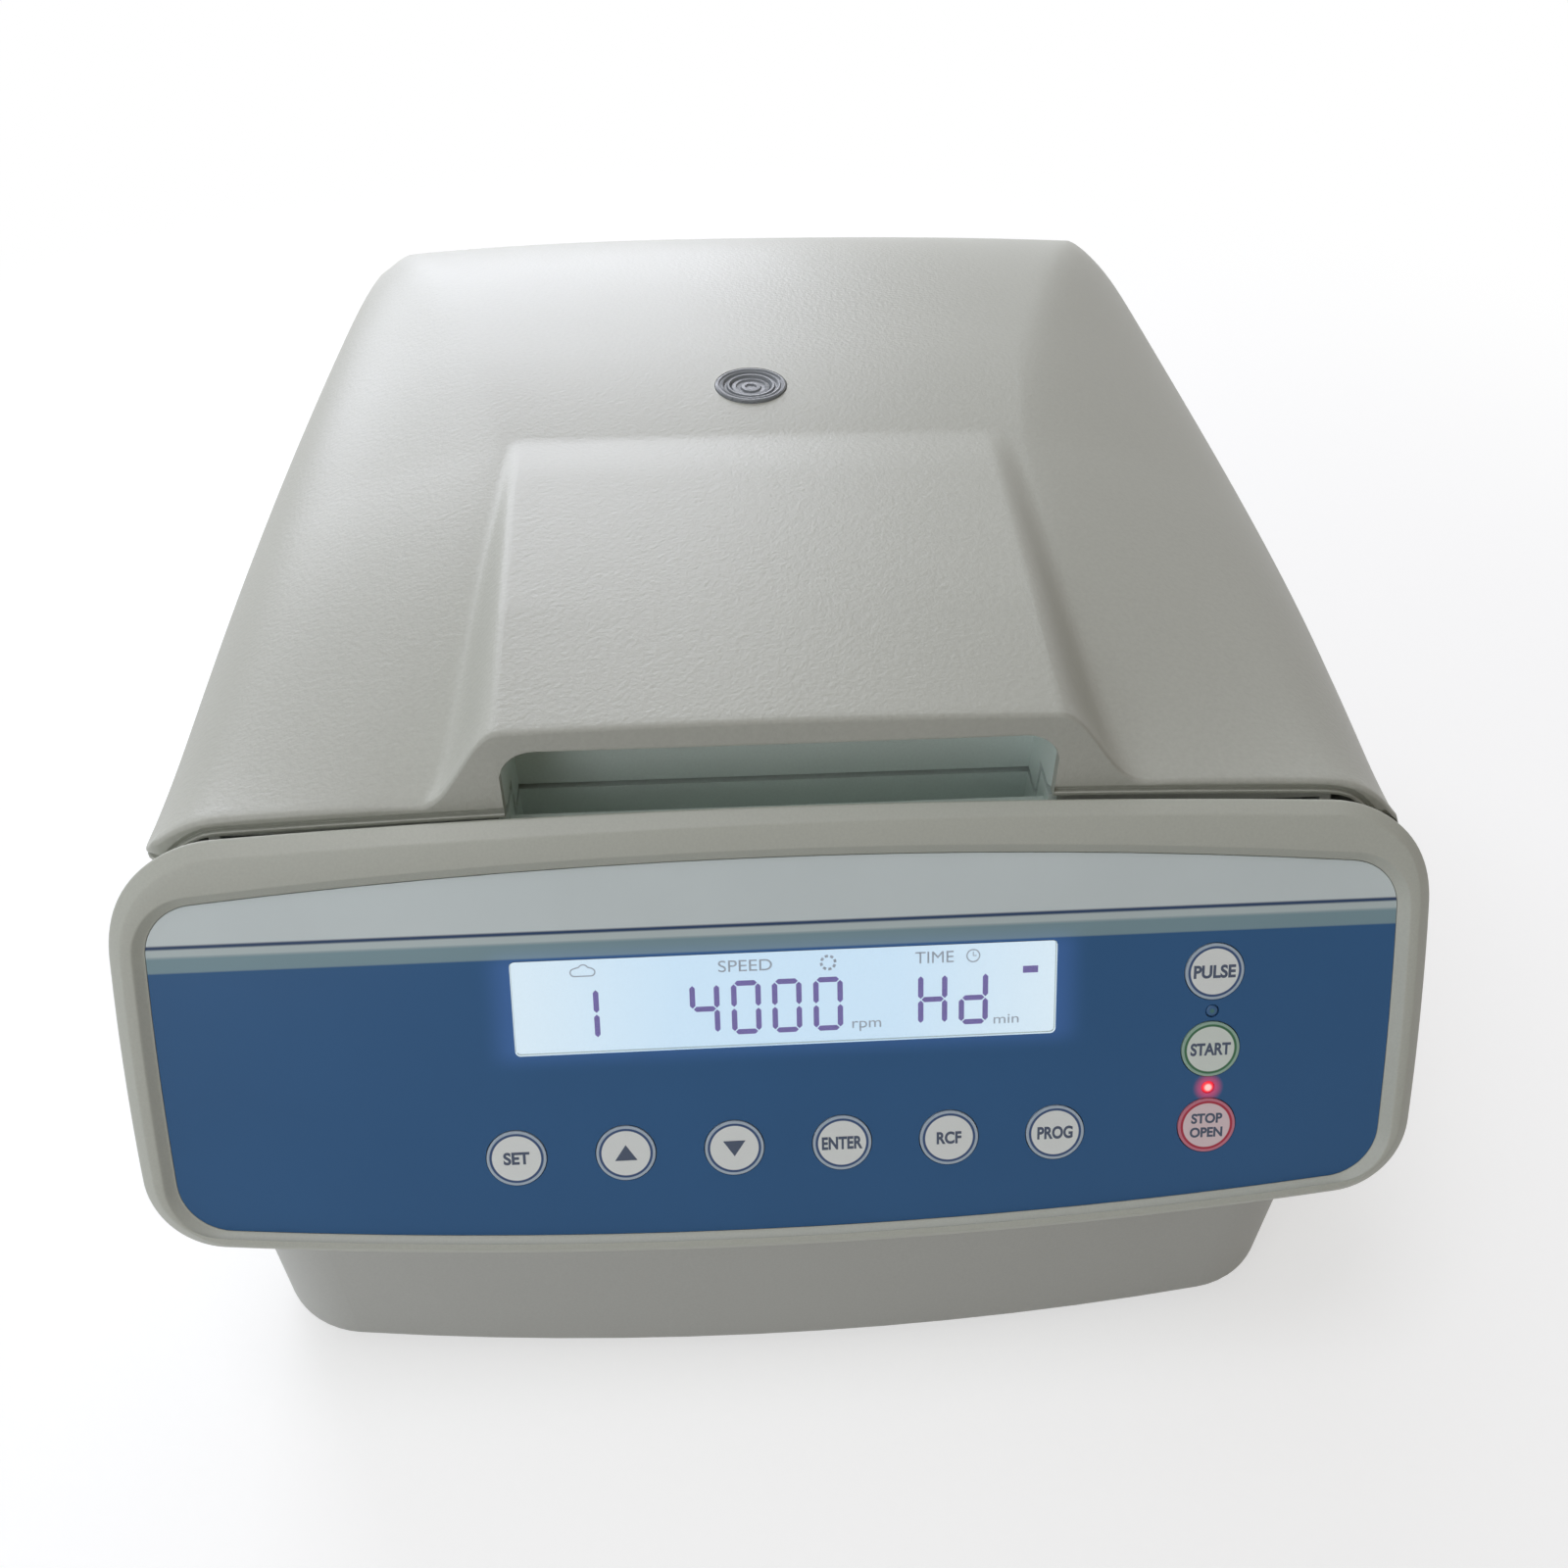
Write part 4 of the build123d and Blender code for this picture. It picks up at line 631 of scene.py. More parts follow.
def lid_plan():
    """Each row is x across, closest on the pad's flanks; past 120 mm its columns squeeze towards the edge.

    The border lies 4 mm inside the lid's outline. The half width swells in the middle and is cut down by a
    circle at each corner; wider sets each side off on its own. A row's ends lie further back than its
    middle at the front of the lid, and further forward at its back."""
    flank = np.concatenate([np.arange(62, 72.9, 0.9), [72.9, 73.1], np.arange(74, 96, 1.0)])
    across = np.concatenate([np.arange(0, 62, 5.0), flank, np.arange(98, 121, 4.4), [STRAIGHT_HALF]])
    outer = 1 - (1 - np.linspace(0, 1, 15)[1:]) ** 1.5
    rows = lid_rows()
    s = rows / GRID_LONG
    half = 172 - 2 * s - BORDER_IN + (5 - s) * (1 - (2 * s - 1) ** 2)
    for gap, radius in ((rows, FRONT_CORNER - BORDER_IN), (GRID_LONG - rows, BACK_CORNER - BORDER_IN)):
        short = np.clip(radius - gap, 0, radius)
        half = half - radius + np.sqrt(radius ** 2 - short ** 2)
    inner = np.broadcast_to(across, (len(rows), len(across)))
    left, right = (
        np.concatenate([inner, STRAIGHT_HALF + outer[None, :] * (half + wider - STRAIGHT_HALF)[:, None]], 1)
        for wider in (-1.2 - 4.5 * s, 5.0 - 2.6 * s - 2.2 * smooth_step((s - 0.5) / 0.5)))
    x = np.concatenate([-left[:, :0:-1], right], 1)
    u = x / half[:, None]
    y = LID_FRONT_Y + BORDER_IN + rows[:, None] + u ** 2 * (1 - s[:, None]) - 6 * u ** 2 * s[:, None]
    return x, y


def around(grid):
    """The grid's border, anticlockwise from its first corner."""
    return np.concatenate([grid[0, :-1], grid[:-1, -1], grid[-1, :0:-1], grid[:0:-1, 0]])


lid_x, lid_y = lid_plan()
lid_z = lid_height(lid_x, lid_y)
print("lid grid", lid_x.shape, "heights", lid_z.min().round(1), lid_z.max().round(1))

# %% [markdown]
# ### The lid's edge, skirt and lip
# From the grid's border the skin rolls over by a quarter circle, drops as a skirt and ends in a
# small bead under a fine groove. The roll starts at the slope that the top already has there, so no
# crease shows. The lip is low along the sides and follows the bezel at the front corners. In the
# middle it arches up for the fingers.

# %% Lid rings
LIP_LOW = 183
ARCH_HEIGHT, ARCH_HALF, ARCH_CORNER = 218.5, 73, 10


def lip_height(x, y):
    """Level along the sides; at the front it clears the bezel's top, and the arch opens it upwards.

    The arch is flat, and two quarter circles join it to its upright ends."""
    above_bezel = over_bezel(x, y) - 0.3 + 0.9 * smooth_step((x + 110) / 220)
    behind_bezel = PANEL_FOOT[2] + ((y - PANEL_FOOT[1]) * math.cos(TILT) - 11.3) / math.sin(TILT)
    low = np.maximum(LIP_LOW, above_bezel - 0.6 * np.maximum(0, behind_bezel - above_bezel))
    past = np.maximum(np.abs(x) - (ARCH_HALF - ARCH_CORNER), 0)
    arch = ARCH_HEIGHT - ARCH_CORNER + np.sqrt(np.maximum(0, ARCH_CORNER ** 2 - past ** 2))
    return np.where((y < LID_FRONT_Y + 5) & (np.abs(x) < ARCH_HALF), arch, low)


BEAD = ((3.7, 0), (3.2, 0.3), (2.4, 1.0), (1.9, 1.3), (1.6, 1.3), (1.5, 0.3), (1.25, 0), (0.6, 0), (0.2, 0.2),
        (0, 0.7))


def lid_rings():
    """Loops around the border, each an offset outwards and a height.

    First a quarter circle from the top's own slope, then the skirt's groove and bead as (height above the
    lip, inset), and last the way up the inside. The finger opening's arch has the bead but no groove."""
    x, y, z = around(lid_x), around(lid_y), around(lid_z)
    ahead, behind = np.roll(np.stack([x, y], -1), -1, 0), np.roll(np.stack([x, y], -1), 1, 0)
    tangent = ahead - behind
    out = np.stack([tangent[:, 1], -tangent[:, 0]], -1)
    out /= np.linalg.norm(out, axis=1)[:, None]
    slope = np.arctan(np.maximum(0, z - lid_height(x + out[:, 0], y + out[:, 1])))
    front = 1 - smooth_step((y - LID_FRONT_Y - 10) / 40)
    radius = 4.0 - front * (1.4 + 1.2 * smooth_step(-out[:, 1]))
    start = BORDER_IN - radius * (1 - np.sin(slope))
    start_z = z - start * np.tan(slope)
    rings = []
    for t in np.linspace(0, 1, 8):
        angle = slope + (math.pi / 2 - slope) * t
        rings.append((BORDER_IN - radius * (1 - np.sin(angle)),
                      start_z - radius * (np.cos(slope) - np.cos(angle))))
    end_z = rings[-1][1]
    low = np.minimum(lip_height(x, y), end_z - 1.2)
    fit = np.clip((end_z - low) / 3.8, 0, 1)
    plain = 1.0 - ((y < LID_FRONT_Y + 5) & (np.abs(x) < ARCH_HALF + 0.05))
    for high, inset in BEAD:
        rings.append((BORDER_IN - inset * np.where(high > 1.4, plain, 1.0), low + high * fit))
    inside = np.minimum(np.maximum(z - 4.2, low + 0.8), z - 3.1)
    rings += [(BORDER_IN - 2.4, low), (BORDER_IN - 3.0, low + 0.3), (BORDER_IN - 3.0, inside)]
    return np.array([np.stack([x + out[:, 0] * d, y + out[:, 1] * d, h], -1) for d, h in rings])


rings = lid_rings()
print("lid rings", rings.shape, "lowest", rings[..., 2].min().round(1))

# %% Lid piece
SKIN = 3.0


def build_lid():
    """Outer grid, rings and an inner grid one skin below, joined along their borders into one closed skin."""
    rows, columns = lid_x.shape
    loop_count, count = rings.shape[:2]
    outer = np.stack([lid_x, lid_y, lid_z], -1).reshape(-1, 3)
    inner_start = len(outer) + loop_count * count
    points = np.concatenate([outer, rings.reshape(-1, 3), outer - (0, 0, SKIN)])
    border = around(np.arange(rows * columns).reshape(rows, columns))[None]
    middle = np.arange(len(outer), inner_start).reshape(-1, count)
    loops = np.concatenate([border, middle, border + inner_start])
    nxt = np.roll(loops, -1, 1)
    bands = np.stack([loops[:-1], loops[1:], nxt[1:], nxt[:-1]], -1).reshape(-1, 4)
    top = grid_faces(rows, columns)
    faces = np.concatenate([top, bands, top[:, ::-1] + inner_start])
    return make_piece("lid_cover", points, faces.tolist(), smooth_angle=30)


def bored(piece, cutter):
    """Cuts the piece with a closed tool, keeps the result in its mesh and removes the tool."""
    cut = piece.modifiers.new("bore", "BOOLEAN")
    cut.operation, cut.object, cut.solver = "DIFFERENCE", cutter, "EXACT"
    shape = final_mesh(piece)
    piece.modifiers.clear()
    piece.data = shape
    bpy.data.objects.remove(cutter)
    return piece


def round_tool(name, centre, low, high, radius, sides=96):
    """An upright drill: two rings of points at the radius, closed by two flat ends."""
    ring = circle_points(sides) * radius + centre
    points = [np.column_stack([ring, np.full(sides, z)]) for z in (low, high)]
    return make_piece(name, points, closed_tube(2, sides))


PORT_BORE = 12.65
lid = bored(build_lid(), round_tool("port_drill", (0, ROTOR_Y), 190, 240, PORT_BORE))
lid.data.set_sharp_from_angle(angle=math.radians(30))
lid.data.materials.append(LID_GREY)
carried(lid, "lid", "casing_light", "lid_shell")

# %% [markdown]
# ## The bezel
# The bezel is the frame around the panel. Its face stands two millimetres proud of the printed
# overlay. Outside, a chamfer falls back to the edge, widest along the top left, and the sides are
# rounded more softly. Inside, a steeper slope leads down to the overlay. It is one outline drawn
# again and again at other insets and depths, closed by a flat plate that the keys, the lamps and the
# display pass through.

# %% Bezel piece
def build_bezel():
    """Loops from the plate's back, up the drafted side and over the chamfer, and down again to the plate.

    An outside loop is (inset from the bezel's outline, depth), an inside one (growth of the overlay's,
    depth). top is 1 along the upper edge and 0 along the lower one, and left is 1 at the left end."""
    outer, outward = BEZEL.loop()
    inner, inner_out = OVERLAY.loop()
    top = smooth_step((outer[:, 1] - 95) / 25)
    left = smooth_step((80 - outer[:, 0]) / 200)
    face, sink = 2.2, top * (0.5 + 0.5 * left)
    wide = 5.6 - top * (2.0 - 1.0 * left)
    stand_in, across, tall = 0.9 * (1 - top), 2.6 - 1.7 * top, 3.6 - 2.6 * top
    draft = stand_in + 1.0 + 2.6 * top
    outside = [(13.0, -3.3), (13.0, -10.0), (draft + 0.6, -10.0), (draft, -9.4)]
    outside += [(stand_in + across * (1 - math.cos(t)), 0.2 - sink - tall * (1 - math.sin(t)))
                for t in np.radians((0, 15, 32, 50, 66))]
    outside += [(wide - 0.5, face - 0.33), (wide - 0.15, face - 0.12), (wide + 0.15, face - 0.03),
                (wide + 0.5, face)]
    inside = [(3.2, face), (2.9, face - 0.05), (2.6, face - 0.25), (2.3, face - 0.6), (0.9, 0.4), (0.6, 0.1),
              (0.2, -0.1), (0.2, -0.8)]
    one = np.ones(len(outer))
    levels = [(outer - outward * (inset * one)[:, None], depth * one) for inset, depth in outside]
    levels += [(inner + inner_out * grow, depth * one) for grow, depth in inside]
    points = np.array([on_panel(p[:, 0], p[:, 1], n) for p, n in levels])
    return make_piece("panel_bezel", points, closed_tube(*points.shape[:2]), smooth_angle=35)


KEY_LOW_V, KEY_STEP, COLUMN_U = 33.4, 30.13, 118.2
KEY_PLACES = {name: (-75.9 + KEY_STEP * i, KEY_LOW_V)
              for i, name in enumerate(("set", "up", "down", "enter", "rcf", "prog"))}
KEY_PLACES.update({"stop": (COLUMN_U, KEY_LOW_V), "start": (COLUMN_U, 56.7), "pulse": (COLUMN_U, 79.8)})
LAMP_PLACES = {"green": (COLUMN_U, 68.0), "red": (COLUMN_U, 44.9)}
KEY_HOLE, LAMP_HOLE = 8.5, 1.95
WINDOW_U, WINDOW_LOW, WINDOW_HIGH = 74.3, 63.45, 90.95
GLASS_WIDE, GLASS_TALL, GLASS_V = 148.3, 27.2, 77.2


def panel_tool(name, outline, low=-12, high=4):
    """A punch: an outline in u and v, closed between two depths of the panel."""
    points = [on_panel(outline[:, 0], outline[:, 1], n) for n in (low, high)]
    return make_piece(name, points, closed_tube(2, len(outline)))


bezel = build_bezel()
holes = {"punch_display": np.array([(-WINDOW_U, WINDOW_LOW), (WINDOW_U, WINDOW_LOW), (WINDOW_U, WINDOW_HIGH),
                                    (-WINDOW_U, WINDOW_HIGH)])}
holes.update({"punch_" + name: circle_points(64) * KEY_HOLE + place for name, place in KEY_PLACES.items()})
holes.update({"punch_" + name: circle_points(24) * LAMP_HOLE + place for name, place in LAMP_PLACES.items()})
for name, outline in holes.items():
    bored(bezel, panel_tool(name, outline))
bezel.data.set_sharp_from_angle(angle=math.radians(35))
bezel.data.materials.append(PANEL_GREY)
carried(bezel, "casing", "bezel_grey", "front_bezel")

# %% [markdown]
# ## The view port
# A smoky clear plug in the middle of the lid lets a stroboscope or an eye check the rotor. It is
# round, so its profile is a line of radii and heights carried round the axis: a sunk middle, raised
# rings with grooves between them, a rounded rim, and a tube below that reaches the liner.

# %% View port piece
def turned_piece(name, profile, centre, sides=96, smooth_angle=35):
    """A closed profile of (radius, height) carried round an upright axis; its two ends lie on the axis."""
    body = np.asarray(profile[1:-1], float)
    flat = centre + body[:, :1, None] * circle_points(sides)
    heights = np.broadcast_to(body[:, 1, None, None], (len(body), sides, 1))
    points = np.concatenate([flat, heights], -1).reshape(-1, 3)
    ends = [(*centre, profile[0][1]), (*centre, profile[-1][1])]
    faces = grid_faces(len(body), sides, wrap=True)[:, ::-1].tolist()
    last, first = len(points), (len(body) - 1) * sides
    faces += [[last, i, (i + 1) % sides] for i in range(sides)]
    faces += [[last + 1, first + (i + 1) % sides, first + i] for i in range(sides)]
    return make_piece(name, np.concatenate([points, ends]), faces, smooth_angle)


top = float(crown_height(0.0, ROTOR_Y))
TUBE_END = 203.0
port_rings = [(0, -0.9), (1.7, -0.9), (2.0, -0.4), (3.3, -0.45), (3.7, -1.0), (4.9, -0.9), (5.3, -0.4),
              (6.5, -0.5), (6.9, -0.9), (7.5, 0.2), (8.2, 0.25), (8.6, -0.4), (9.2, -0.4), (9.7, 0.4),
              (10.2, 0.5), (10.6, 0.1), (10.9, 0.1), (11.3, 0.6), (11.9, 0.6), (12.4, 0.25), (12.5, -0.2),
              (12.5, -3.0), (10.35, -3.0)]
port_profile = [(radius, top + rise) for radius, rise in port_rings] + [
    (10.35, TUBE_END), (8.35, TUBE_END), (8.35, top - 2.6), (5, top - 2.5), (0, top - 2.4)]
port = turned_piece("sight_port", port_profile, (0, ROTOR_Y))
port.data.materials.append(CLEAR_PORT)
carried(port, "lid", "port_clear", "view_port")

# %% [markdown]
# ## The printed overlay
# The overlay is a polyester film, printed on its back and glued to the bezel. The print is bands
# that run across: pale above, a thin dark line, a pale line, a grey-green band, and blue below. The
# colour depends only on how far up the slope a point is, so the shader measures that with a dot
# product and reads the colour from a ramp. The film's satin is finer than can be seen, so it only
# softens the shine. Round the lit lamp and the display their light leaks into the film as a glow.

# %% Overlay film
def up_the_slope(tree):
    """Distance up the panel in metres: the place from the panel's foot, dotted with the slope's direction."""
    from_foot = object_place(tree, PANEL_FOOT)
    rise = add(tree, "ShaderNodeVectorMath", {0: from_foot}, operation="DOT_PRODUCT")
    rise.inputs[1].default_value = PANEL_V
    return rise.outputs["Value"]


def from_spot(tree, u, v):
    """Distance in metres from a place on the panel."""
    away = add(tree, "ShaderNodeVectorMath", {0: object_place(tree, on_panel(u, v, 0.3))}, operation="LENGTH")
    return away.outputs["Value"]


EDGE_BLUR = 0.08


def stepped(tree, value, top, steps):
    """A ramp over 0 to top millimetres; each step (from, colour) is blurred by 0.08 mm to either side."""
    ramp = add(tree, "ShaderNodeValToRGB", {"Fac": stretched(tree, value, 0, 1, From_Max=top * MM)})
    marks = ramp.color_ramp.elements
    marks[0].position, marks[0].color = 0.0, light(steps[0][1])
    marks.remove(marks[1])
    for (start, colour), before in zip(steps[1:], steps):
        for place, shade in ((start - EDGE_BLUR, before[1]), (start + EDGE_BLUR, colour)):
            mark = marks.new(place / top)
            mark.color = light(shade)
    return ramp.outputs["Color"]


def faded(tree, value, near, far):
    """1 up to near millimetres, 0 past far, smooth between."""
    return stretched(tree, value, 1, 0, interpolation_type="SMOOTHSTEP", From_Min=near * MM,
                     From_Max=far * MM)


FILM_BANDS = [(0, "#31608f"), (91.5, "#86a2ab"), (96.0, "#c4d2d3"), (98.4, "#2c4468"), (99.4, "#dae5e6")]


def printed_film(name):
    """Print by height up the slope, satin grain, and a red glow by the lamp and a blue one by the display."""
    finish, tree, shader = new_finish(name, Specular_IOR_Level=0.3)
    place = object_place(tree)
    cloud = stretched(tree, noise(tree, place, 35, 3.0), 0.94, 1.05)
    satin = noise(tree, place, 0.25)
    red = faded(tree, from_spot(tree, *LAMP_PLACES["red"]), 1.6, 4.8)
    across = add(tree, "ShaderNodeSeparateXYZ", {0: place}).outputs[0]
    off_level = reckon(tree, "SUBTRACT", up_the_slope(tree), GLASS_V * MM)
    blue = reckon(tree, "MULTIPLY", faded(tree, reckon(tree, "ABSOLUTE", across), 73.5, 83.5),
                  faded(tree, reckon(tree, "ABSOLUTE", off_level), 11, 19))
    glow = reckon(tree, "MAXIMUM", red, reckon(tree, "MULTIPLY", blue, 0.35))
    redder = stretched(tree, red, 0, 1, From_Max=0.08)
    join(shader, {"Base Color": toned(tree, stepped(tree, up_the_slope(tree), 130, FILM_BANDS), cloud),
                  "Roughness": stretched(tree, satin, 0.3, 0.48), "Normal": relief(tree, satin, 0.25, 0.01),
                  "Emission Color": between(tree, redder, light("#5f7fd8"), light("#ff2038")),
                  "Emission Strength": reckon(tree, "MULTIPLY", glow, 0.42)})
    return finish


FILM = printed_film("polyester_film_back_printed")
print("film bands at", [start for start, colour in FILM_BANDS], "mm up the slope")

# %% [markdown]
# ### The keys
# Each key is a domed spot of the same film, printed as a pale disc inside a dark ring and a pale
# ring. The print is round, so its colour depends only on the distance from the key's middle. START
# and STOP have coloured rings.

# %% Key print
def key_print(name, u, v, disc="#f1f6f4", groove="#2b4a78", rim="#b4c4d2"):
    """Disc, dark groove and pale rim by distance from the key's middle."""
    finish, tree, shader = new_finish(name)
    rings = stepped(tree, from_spot(tree, u, v), 9, [(0, disc), (6.75, groove), (7.45, rim)])
    satin = noise(tree, object_place(tree), 0.3)
    join(shader, {"Base Color": toned(tree, rings, stretched(tree, satin, 0.96, 1.02)),
                  "Roughness": stretched(tree, satin, 0.32, 0.5), "Normal": relief(tree, satin, 0.25, 0.01)})
    return finish


KEY_RINGS = {"start": dict(disc="#e4ede6", groove="#2f6a44", rim="#9dbcab"),
             "stop": dict(disc="#eed9dd", groove="#b3233f", rim="#cf7f92")}
KEY_PRINTS = {name: key_print("key_print_" + name, *place, **KEY_RINGS.get(name, {}))
              for name, place in KEY_PLACES.items()}


def ink(name, colour, rough=0.45):
    """Screen-printed ink: a slight mottle where it lies thinner."""
    finish, tree, shader = new_finish(name)
    thin = noise(tree, object_place(tree), 0.4)
    join(shader, {"Base Color": mottled(tree, thin, colour, 0.88, 1.12),
                  "Roughness": stretched(tree, thin, rough - 0.1, rough + 0.1)})
    return finish


SLATE_INK = ink("ink_slate_blue", "#4a566c")
GREY_INK = ink("ink_display_grey", "#a0abba")
print("key prints", len(KEY_PRINTS))

# %% [markdown]
# ### The words on the keys
# The words are thin raised ink. Letters start as a flat curve, which is thickened, turned into a
# mesh, stretched to the size of the real word and laid on the key. Arrows, bars and rings are drawn
# as outlines or as lines with a width, and go through the same last step.

# %% Words and flat marks
def word_points(words, wide, tall, bold=0.035):
    """Letters as a filled curve, thickened, made a mesh and stretched to wide by tall around its middle."""
    curve = bpy.data.curves.new("letters", "FONT")
    curve.body, curve.align_x, curve.offset, curve.extrude = words, "CENTER", bold, 0.01
    holder = bpy.data.objects.new("letters", curve)
    bpy.context.scene.collection.objects.link(holder)
    mesh = final_mesh(holder)
    points = np.empty(len(mesh.vertices) * 3)
    mesh.vertices.foreach_get("co", points)
    points = points.reshape(-1, 3)
    faces = [list(p.vertices) for p in mesh.polygons]
    bpy.data.objects.remove(holder)
    bpy.data.meshes.remove(mesh)
    low, high = points.min(0), points.max(0)
    points = (points - (low + high) / 2) / (high - low) * (wide, tall, 1.0)
    return points, faces


def flat_marks(name, groups, depth, thick=0.04):
    """Groups of (points, faces, u, v) in the panel's plane, made thin and laid at a depth as one piece."""
    points, faces, count = [], [], 0
    for shape, sides, u, v in groups:
        points.append(on_panel(shape[:, 0] + u, shape[:, 1] + v, depth + thick * (shape[:, 2] + 0.5)))
        faces += [[i + count for i in side] for side in sides]
        count += len(shape)
    return make_piece(name, np.concatenate(points), faces, smooth_angle=20)


def prism(outline):
    """A flat outline in u and v as a thin closed slab from -0.5 to 0.5."""
    outline = np.asarray(outline, float)
    count = len(outline)
    points = np.concatenate([np.column_stack([outline, np.full(count, z)]) for z in (-0.5, 0.5)])
    return points, closed_tube(2, count)


def stroke(line, width, closed=False):
    """A line of points given a width: each point moves half the width to either side, across the line."""
    line = np.asarray(line, float)
    ahead = np.roll(line, -1, 0) if closed else np.concatenate([line[1:], line[-1:]])
    behind = np.roll(line, 1, 0) if closed else np.concatenate([line[:1], line[:-1]])
    run = ahead - behind
    side = np.stack([run[:, 1], -run[:, 0]], -1) / np.linalg.norm(run, axis=1)[:, None] * width / 2
    count = len(line)
    ring = np.stack([np.column_stack([p, np.full(count, z)]) for p, z in
                     ((line + side, -0.5), (line + side, 0.5), (line - side, 0.5), (line - side, -0.5))], 1)
    points = ring.reshape(-1, 3)
    faces = (grid_faces(count + closed, 4, wrap=True) % len(points))[:, ::-1].tolist()
    ends = [] if closed else [[3, 2, 1, 0], list(range(4 * count - 4, 4 * count))]
    return points, faces + ends


PRINT_DEPTH = 0.3
ARROW = np.array([(-3.1, -2.2), (3.1, -2.2), (0, 2.5)])
LEGENDS = {"set": [("SET", 7.2, 3.8, 0)], "enter": [("ENTER", 11.4, 3.9, 0)], "rcf": [("RCF", 7.0, 3.8, 0)],
           "prog": [("PROG", 10.1, 3.9, 0)], "pulse": [("PULSE", 11.8, 3.9, 0)],
           "start": [("START", 11.4, 3.8, 0)], "stop": [("STOP", 8.9, 3.1, 2.15), ("OPEN", 9.4, 3.1, -2.15)]}
key_marks = {name: [(*word_points(words, wide, tall), 0, lift) for words, wide, tall, lift in lines]
             for name, lines in LEGENDS.items()}
key_marks.update({name: [(*prism(sign * ARROW), 0, 0)] for name, sign in (("up", 1), ("down", -1))})
for name, marks in key_marks.items():
    u, v = KEY_PLACES[name]
    groups = [(points, faces, u + aside, v + lift) for points, faces, aside, lift in marks]
    legend = flat_marks("legend_" + name, groups, PRINT_DEPTH)
    legend.data.materials.append(SLATE_INK)
    carried(legend, "key_" + name, "overlay_blue")

# %% [markdown]
# ## The display
# The display is a lit liquid-crystal glass behind a clear window. Its dark marks are not printed on
# the window but lie a little way behind it, which is why they seem to float. Each digit is built
# from seven bars with pointed ends. The glass glows a cool white that is brighter at its ends, where
# the lamps of the back light sit.

# %% Display marks
MARK_DEPTH = -1.34


def on_glass(a, b):
    """Fractions of the glass from its lower left corner to places on the panel."""
    return (a - 0.5) * GLASS_WIDE, GLASS_V + (b - 0.5) * GLASS_TALL


BARS = {"a": ((0, 1), (1, 1)), "b": ((1, 0.5), (1, 1)), "c": ((1, 0), (1, 0.5)), "d": ((0, 0), (1, 0)),
        "e": ((0, 0), (0, 0.5)), "f": ((0, 0.5), (0, 1)), "g": ((0, 0.5), (1, 0.5))}
SHAPES = {"4": "fgbc", "0": "abcdef", "1": "bc", "H": "fegbc", "d": "bcdeg"}


def bar(start, end, thick):
    """A bar between two corners of a digit: six points, pointed at both ends, with a gap at the corners."""
    start, end = np.asarray(start, float), np.asarray(end, float)
    along = (end - start) / np.linalg.norm(end - start)
    across = np.array([-along[1], along[0]]) * thick / 2
    start, end = start + along * thick * 0.16, end - along * thick * 0.16
    inset = along * thick / 2
    return prism([start, start + inset - across, end - inset - across, end, end - inset + across,
                  start + inset + across])


def digit(letter, a, wide=6.6, low=0.15, high=0.67, thick=1.5):
    """The bars of one letter, around a place along the glass, between two heights of it."""
    u, foot = on_glass(a, low)
    tall = on_glass(a, high)[1] - foot
    corner = (u - wide / 2, foot)
    ends = [[corner + np.array(end) * (wide, tall) for end in BARS[k]] for k in SHAPES[letter]]
    return [(*bar(start, stop, thick), 0, 0) for start, stop in ends]


DIGITS = (("1", 0.129), ("4", 0.349), ("0", 0.425), ("0", 0.500), ("0", 0.576), ("H", 0.770), ("d", 0.846))
groups = sum((digit(letter, a) for letter, a in DIGITS), [])
groups.append((*prism([(-2.1, -1.0), (2.1, -1.0), (2.1, 1.0), (-2.1, 1.0)]), *on_glass(0.952, 0.69)))
segments = flat_marks("display_digits", groups, MARK_DEPTH)
segments.data.materials.append(ink("crystal_mark_violet", "#6a55b0"))
carried(segments, "casing", "display_lit")

# %% [markdown]
# The small words and signs above and below the figures are fainter: a clock, a ring of short arcs
# and a cloud. Each sign is a line with a width.

# %% Display legends
WORDS = (("SPEED", 14.6, 3.3, 0.425, 0.855), ("rpm", 8.0, 3.0, 0.647, 0.155),
         ("TIME", 10.6, 3.3, 0.773, 0.86), ("min", 7.0, 2.6, 0.908, 0.165))
groups = [(*word_points(words, wide, tall, bold=0.0), *on_glass(a, b)) for words, wide, tall, a, b in WORDS]


def arc_points(start, stop, count):
    """Points on a circle of radius 1 between two angles."""
    angle = np.linspace(start, stop, count)
    return np.stack([np.cos(angle), np.sin(angle)], -1)


clock, fan, cloud = on_glass(0.845, 0.86), on_glass(0.577, 0.85), on_glass(0.13, 0.865)
groups.append((*stroke(circle_points(28) * 1.75, 0.35, closed=True), *clock))
groups.append((*stroke([(0, 1.1), (0, 0), (0.9, 0)], 0.3), *clock))
for i in range(8):
    groups.append((*stroke(arc_points(i * math.pi / 4, (i + 0.6) * math.pi / 4, 4) * 1.9, 0.75), *fan))
puffs = ((2.2, -0.3, 1.1, (-1.5, 1.2, 8)), (0.2, 0.5, 1.35, (0.5, 2.6, 9)), (-2.2, -0.3, 1.1, (1.9, 4.6, 8)))
outline = np.concatenate([(x, y) + radius * arc_points(*reach) for x, y, radius, reach in puffs])
groups.append((*stroke(outline, 0.35, closed=True), *cloud))
legends = flat_marks("display_legends", groups, MARK_DEPTH)
legends.data.materials.append(GREY_INK)
carried(legends, "casing", "display_lit")

# %% [markdown]
# ### What glows
# The display's back light shines through the whole glass, so the glass itself gives off light, with
# a faint grain from its cells. The two lamps share one part: the upper one is dark and looks like
# the film round it, and the lower one is lit, almost white in its middle and red at its rim.

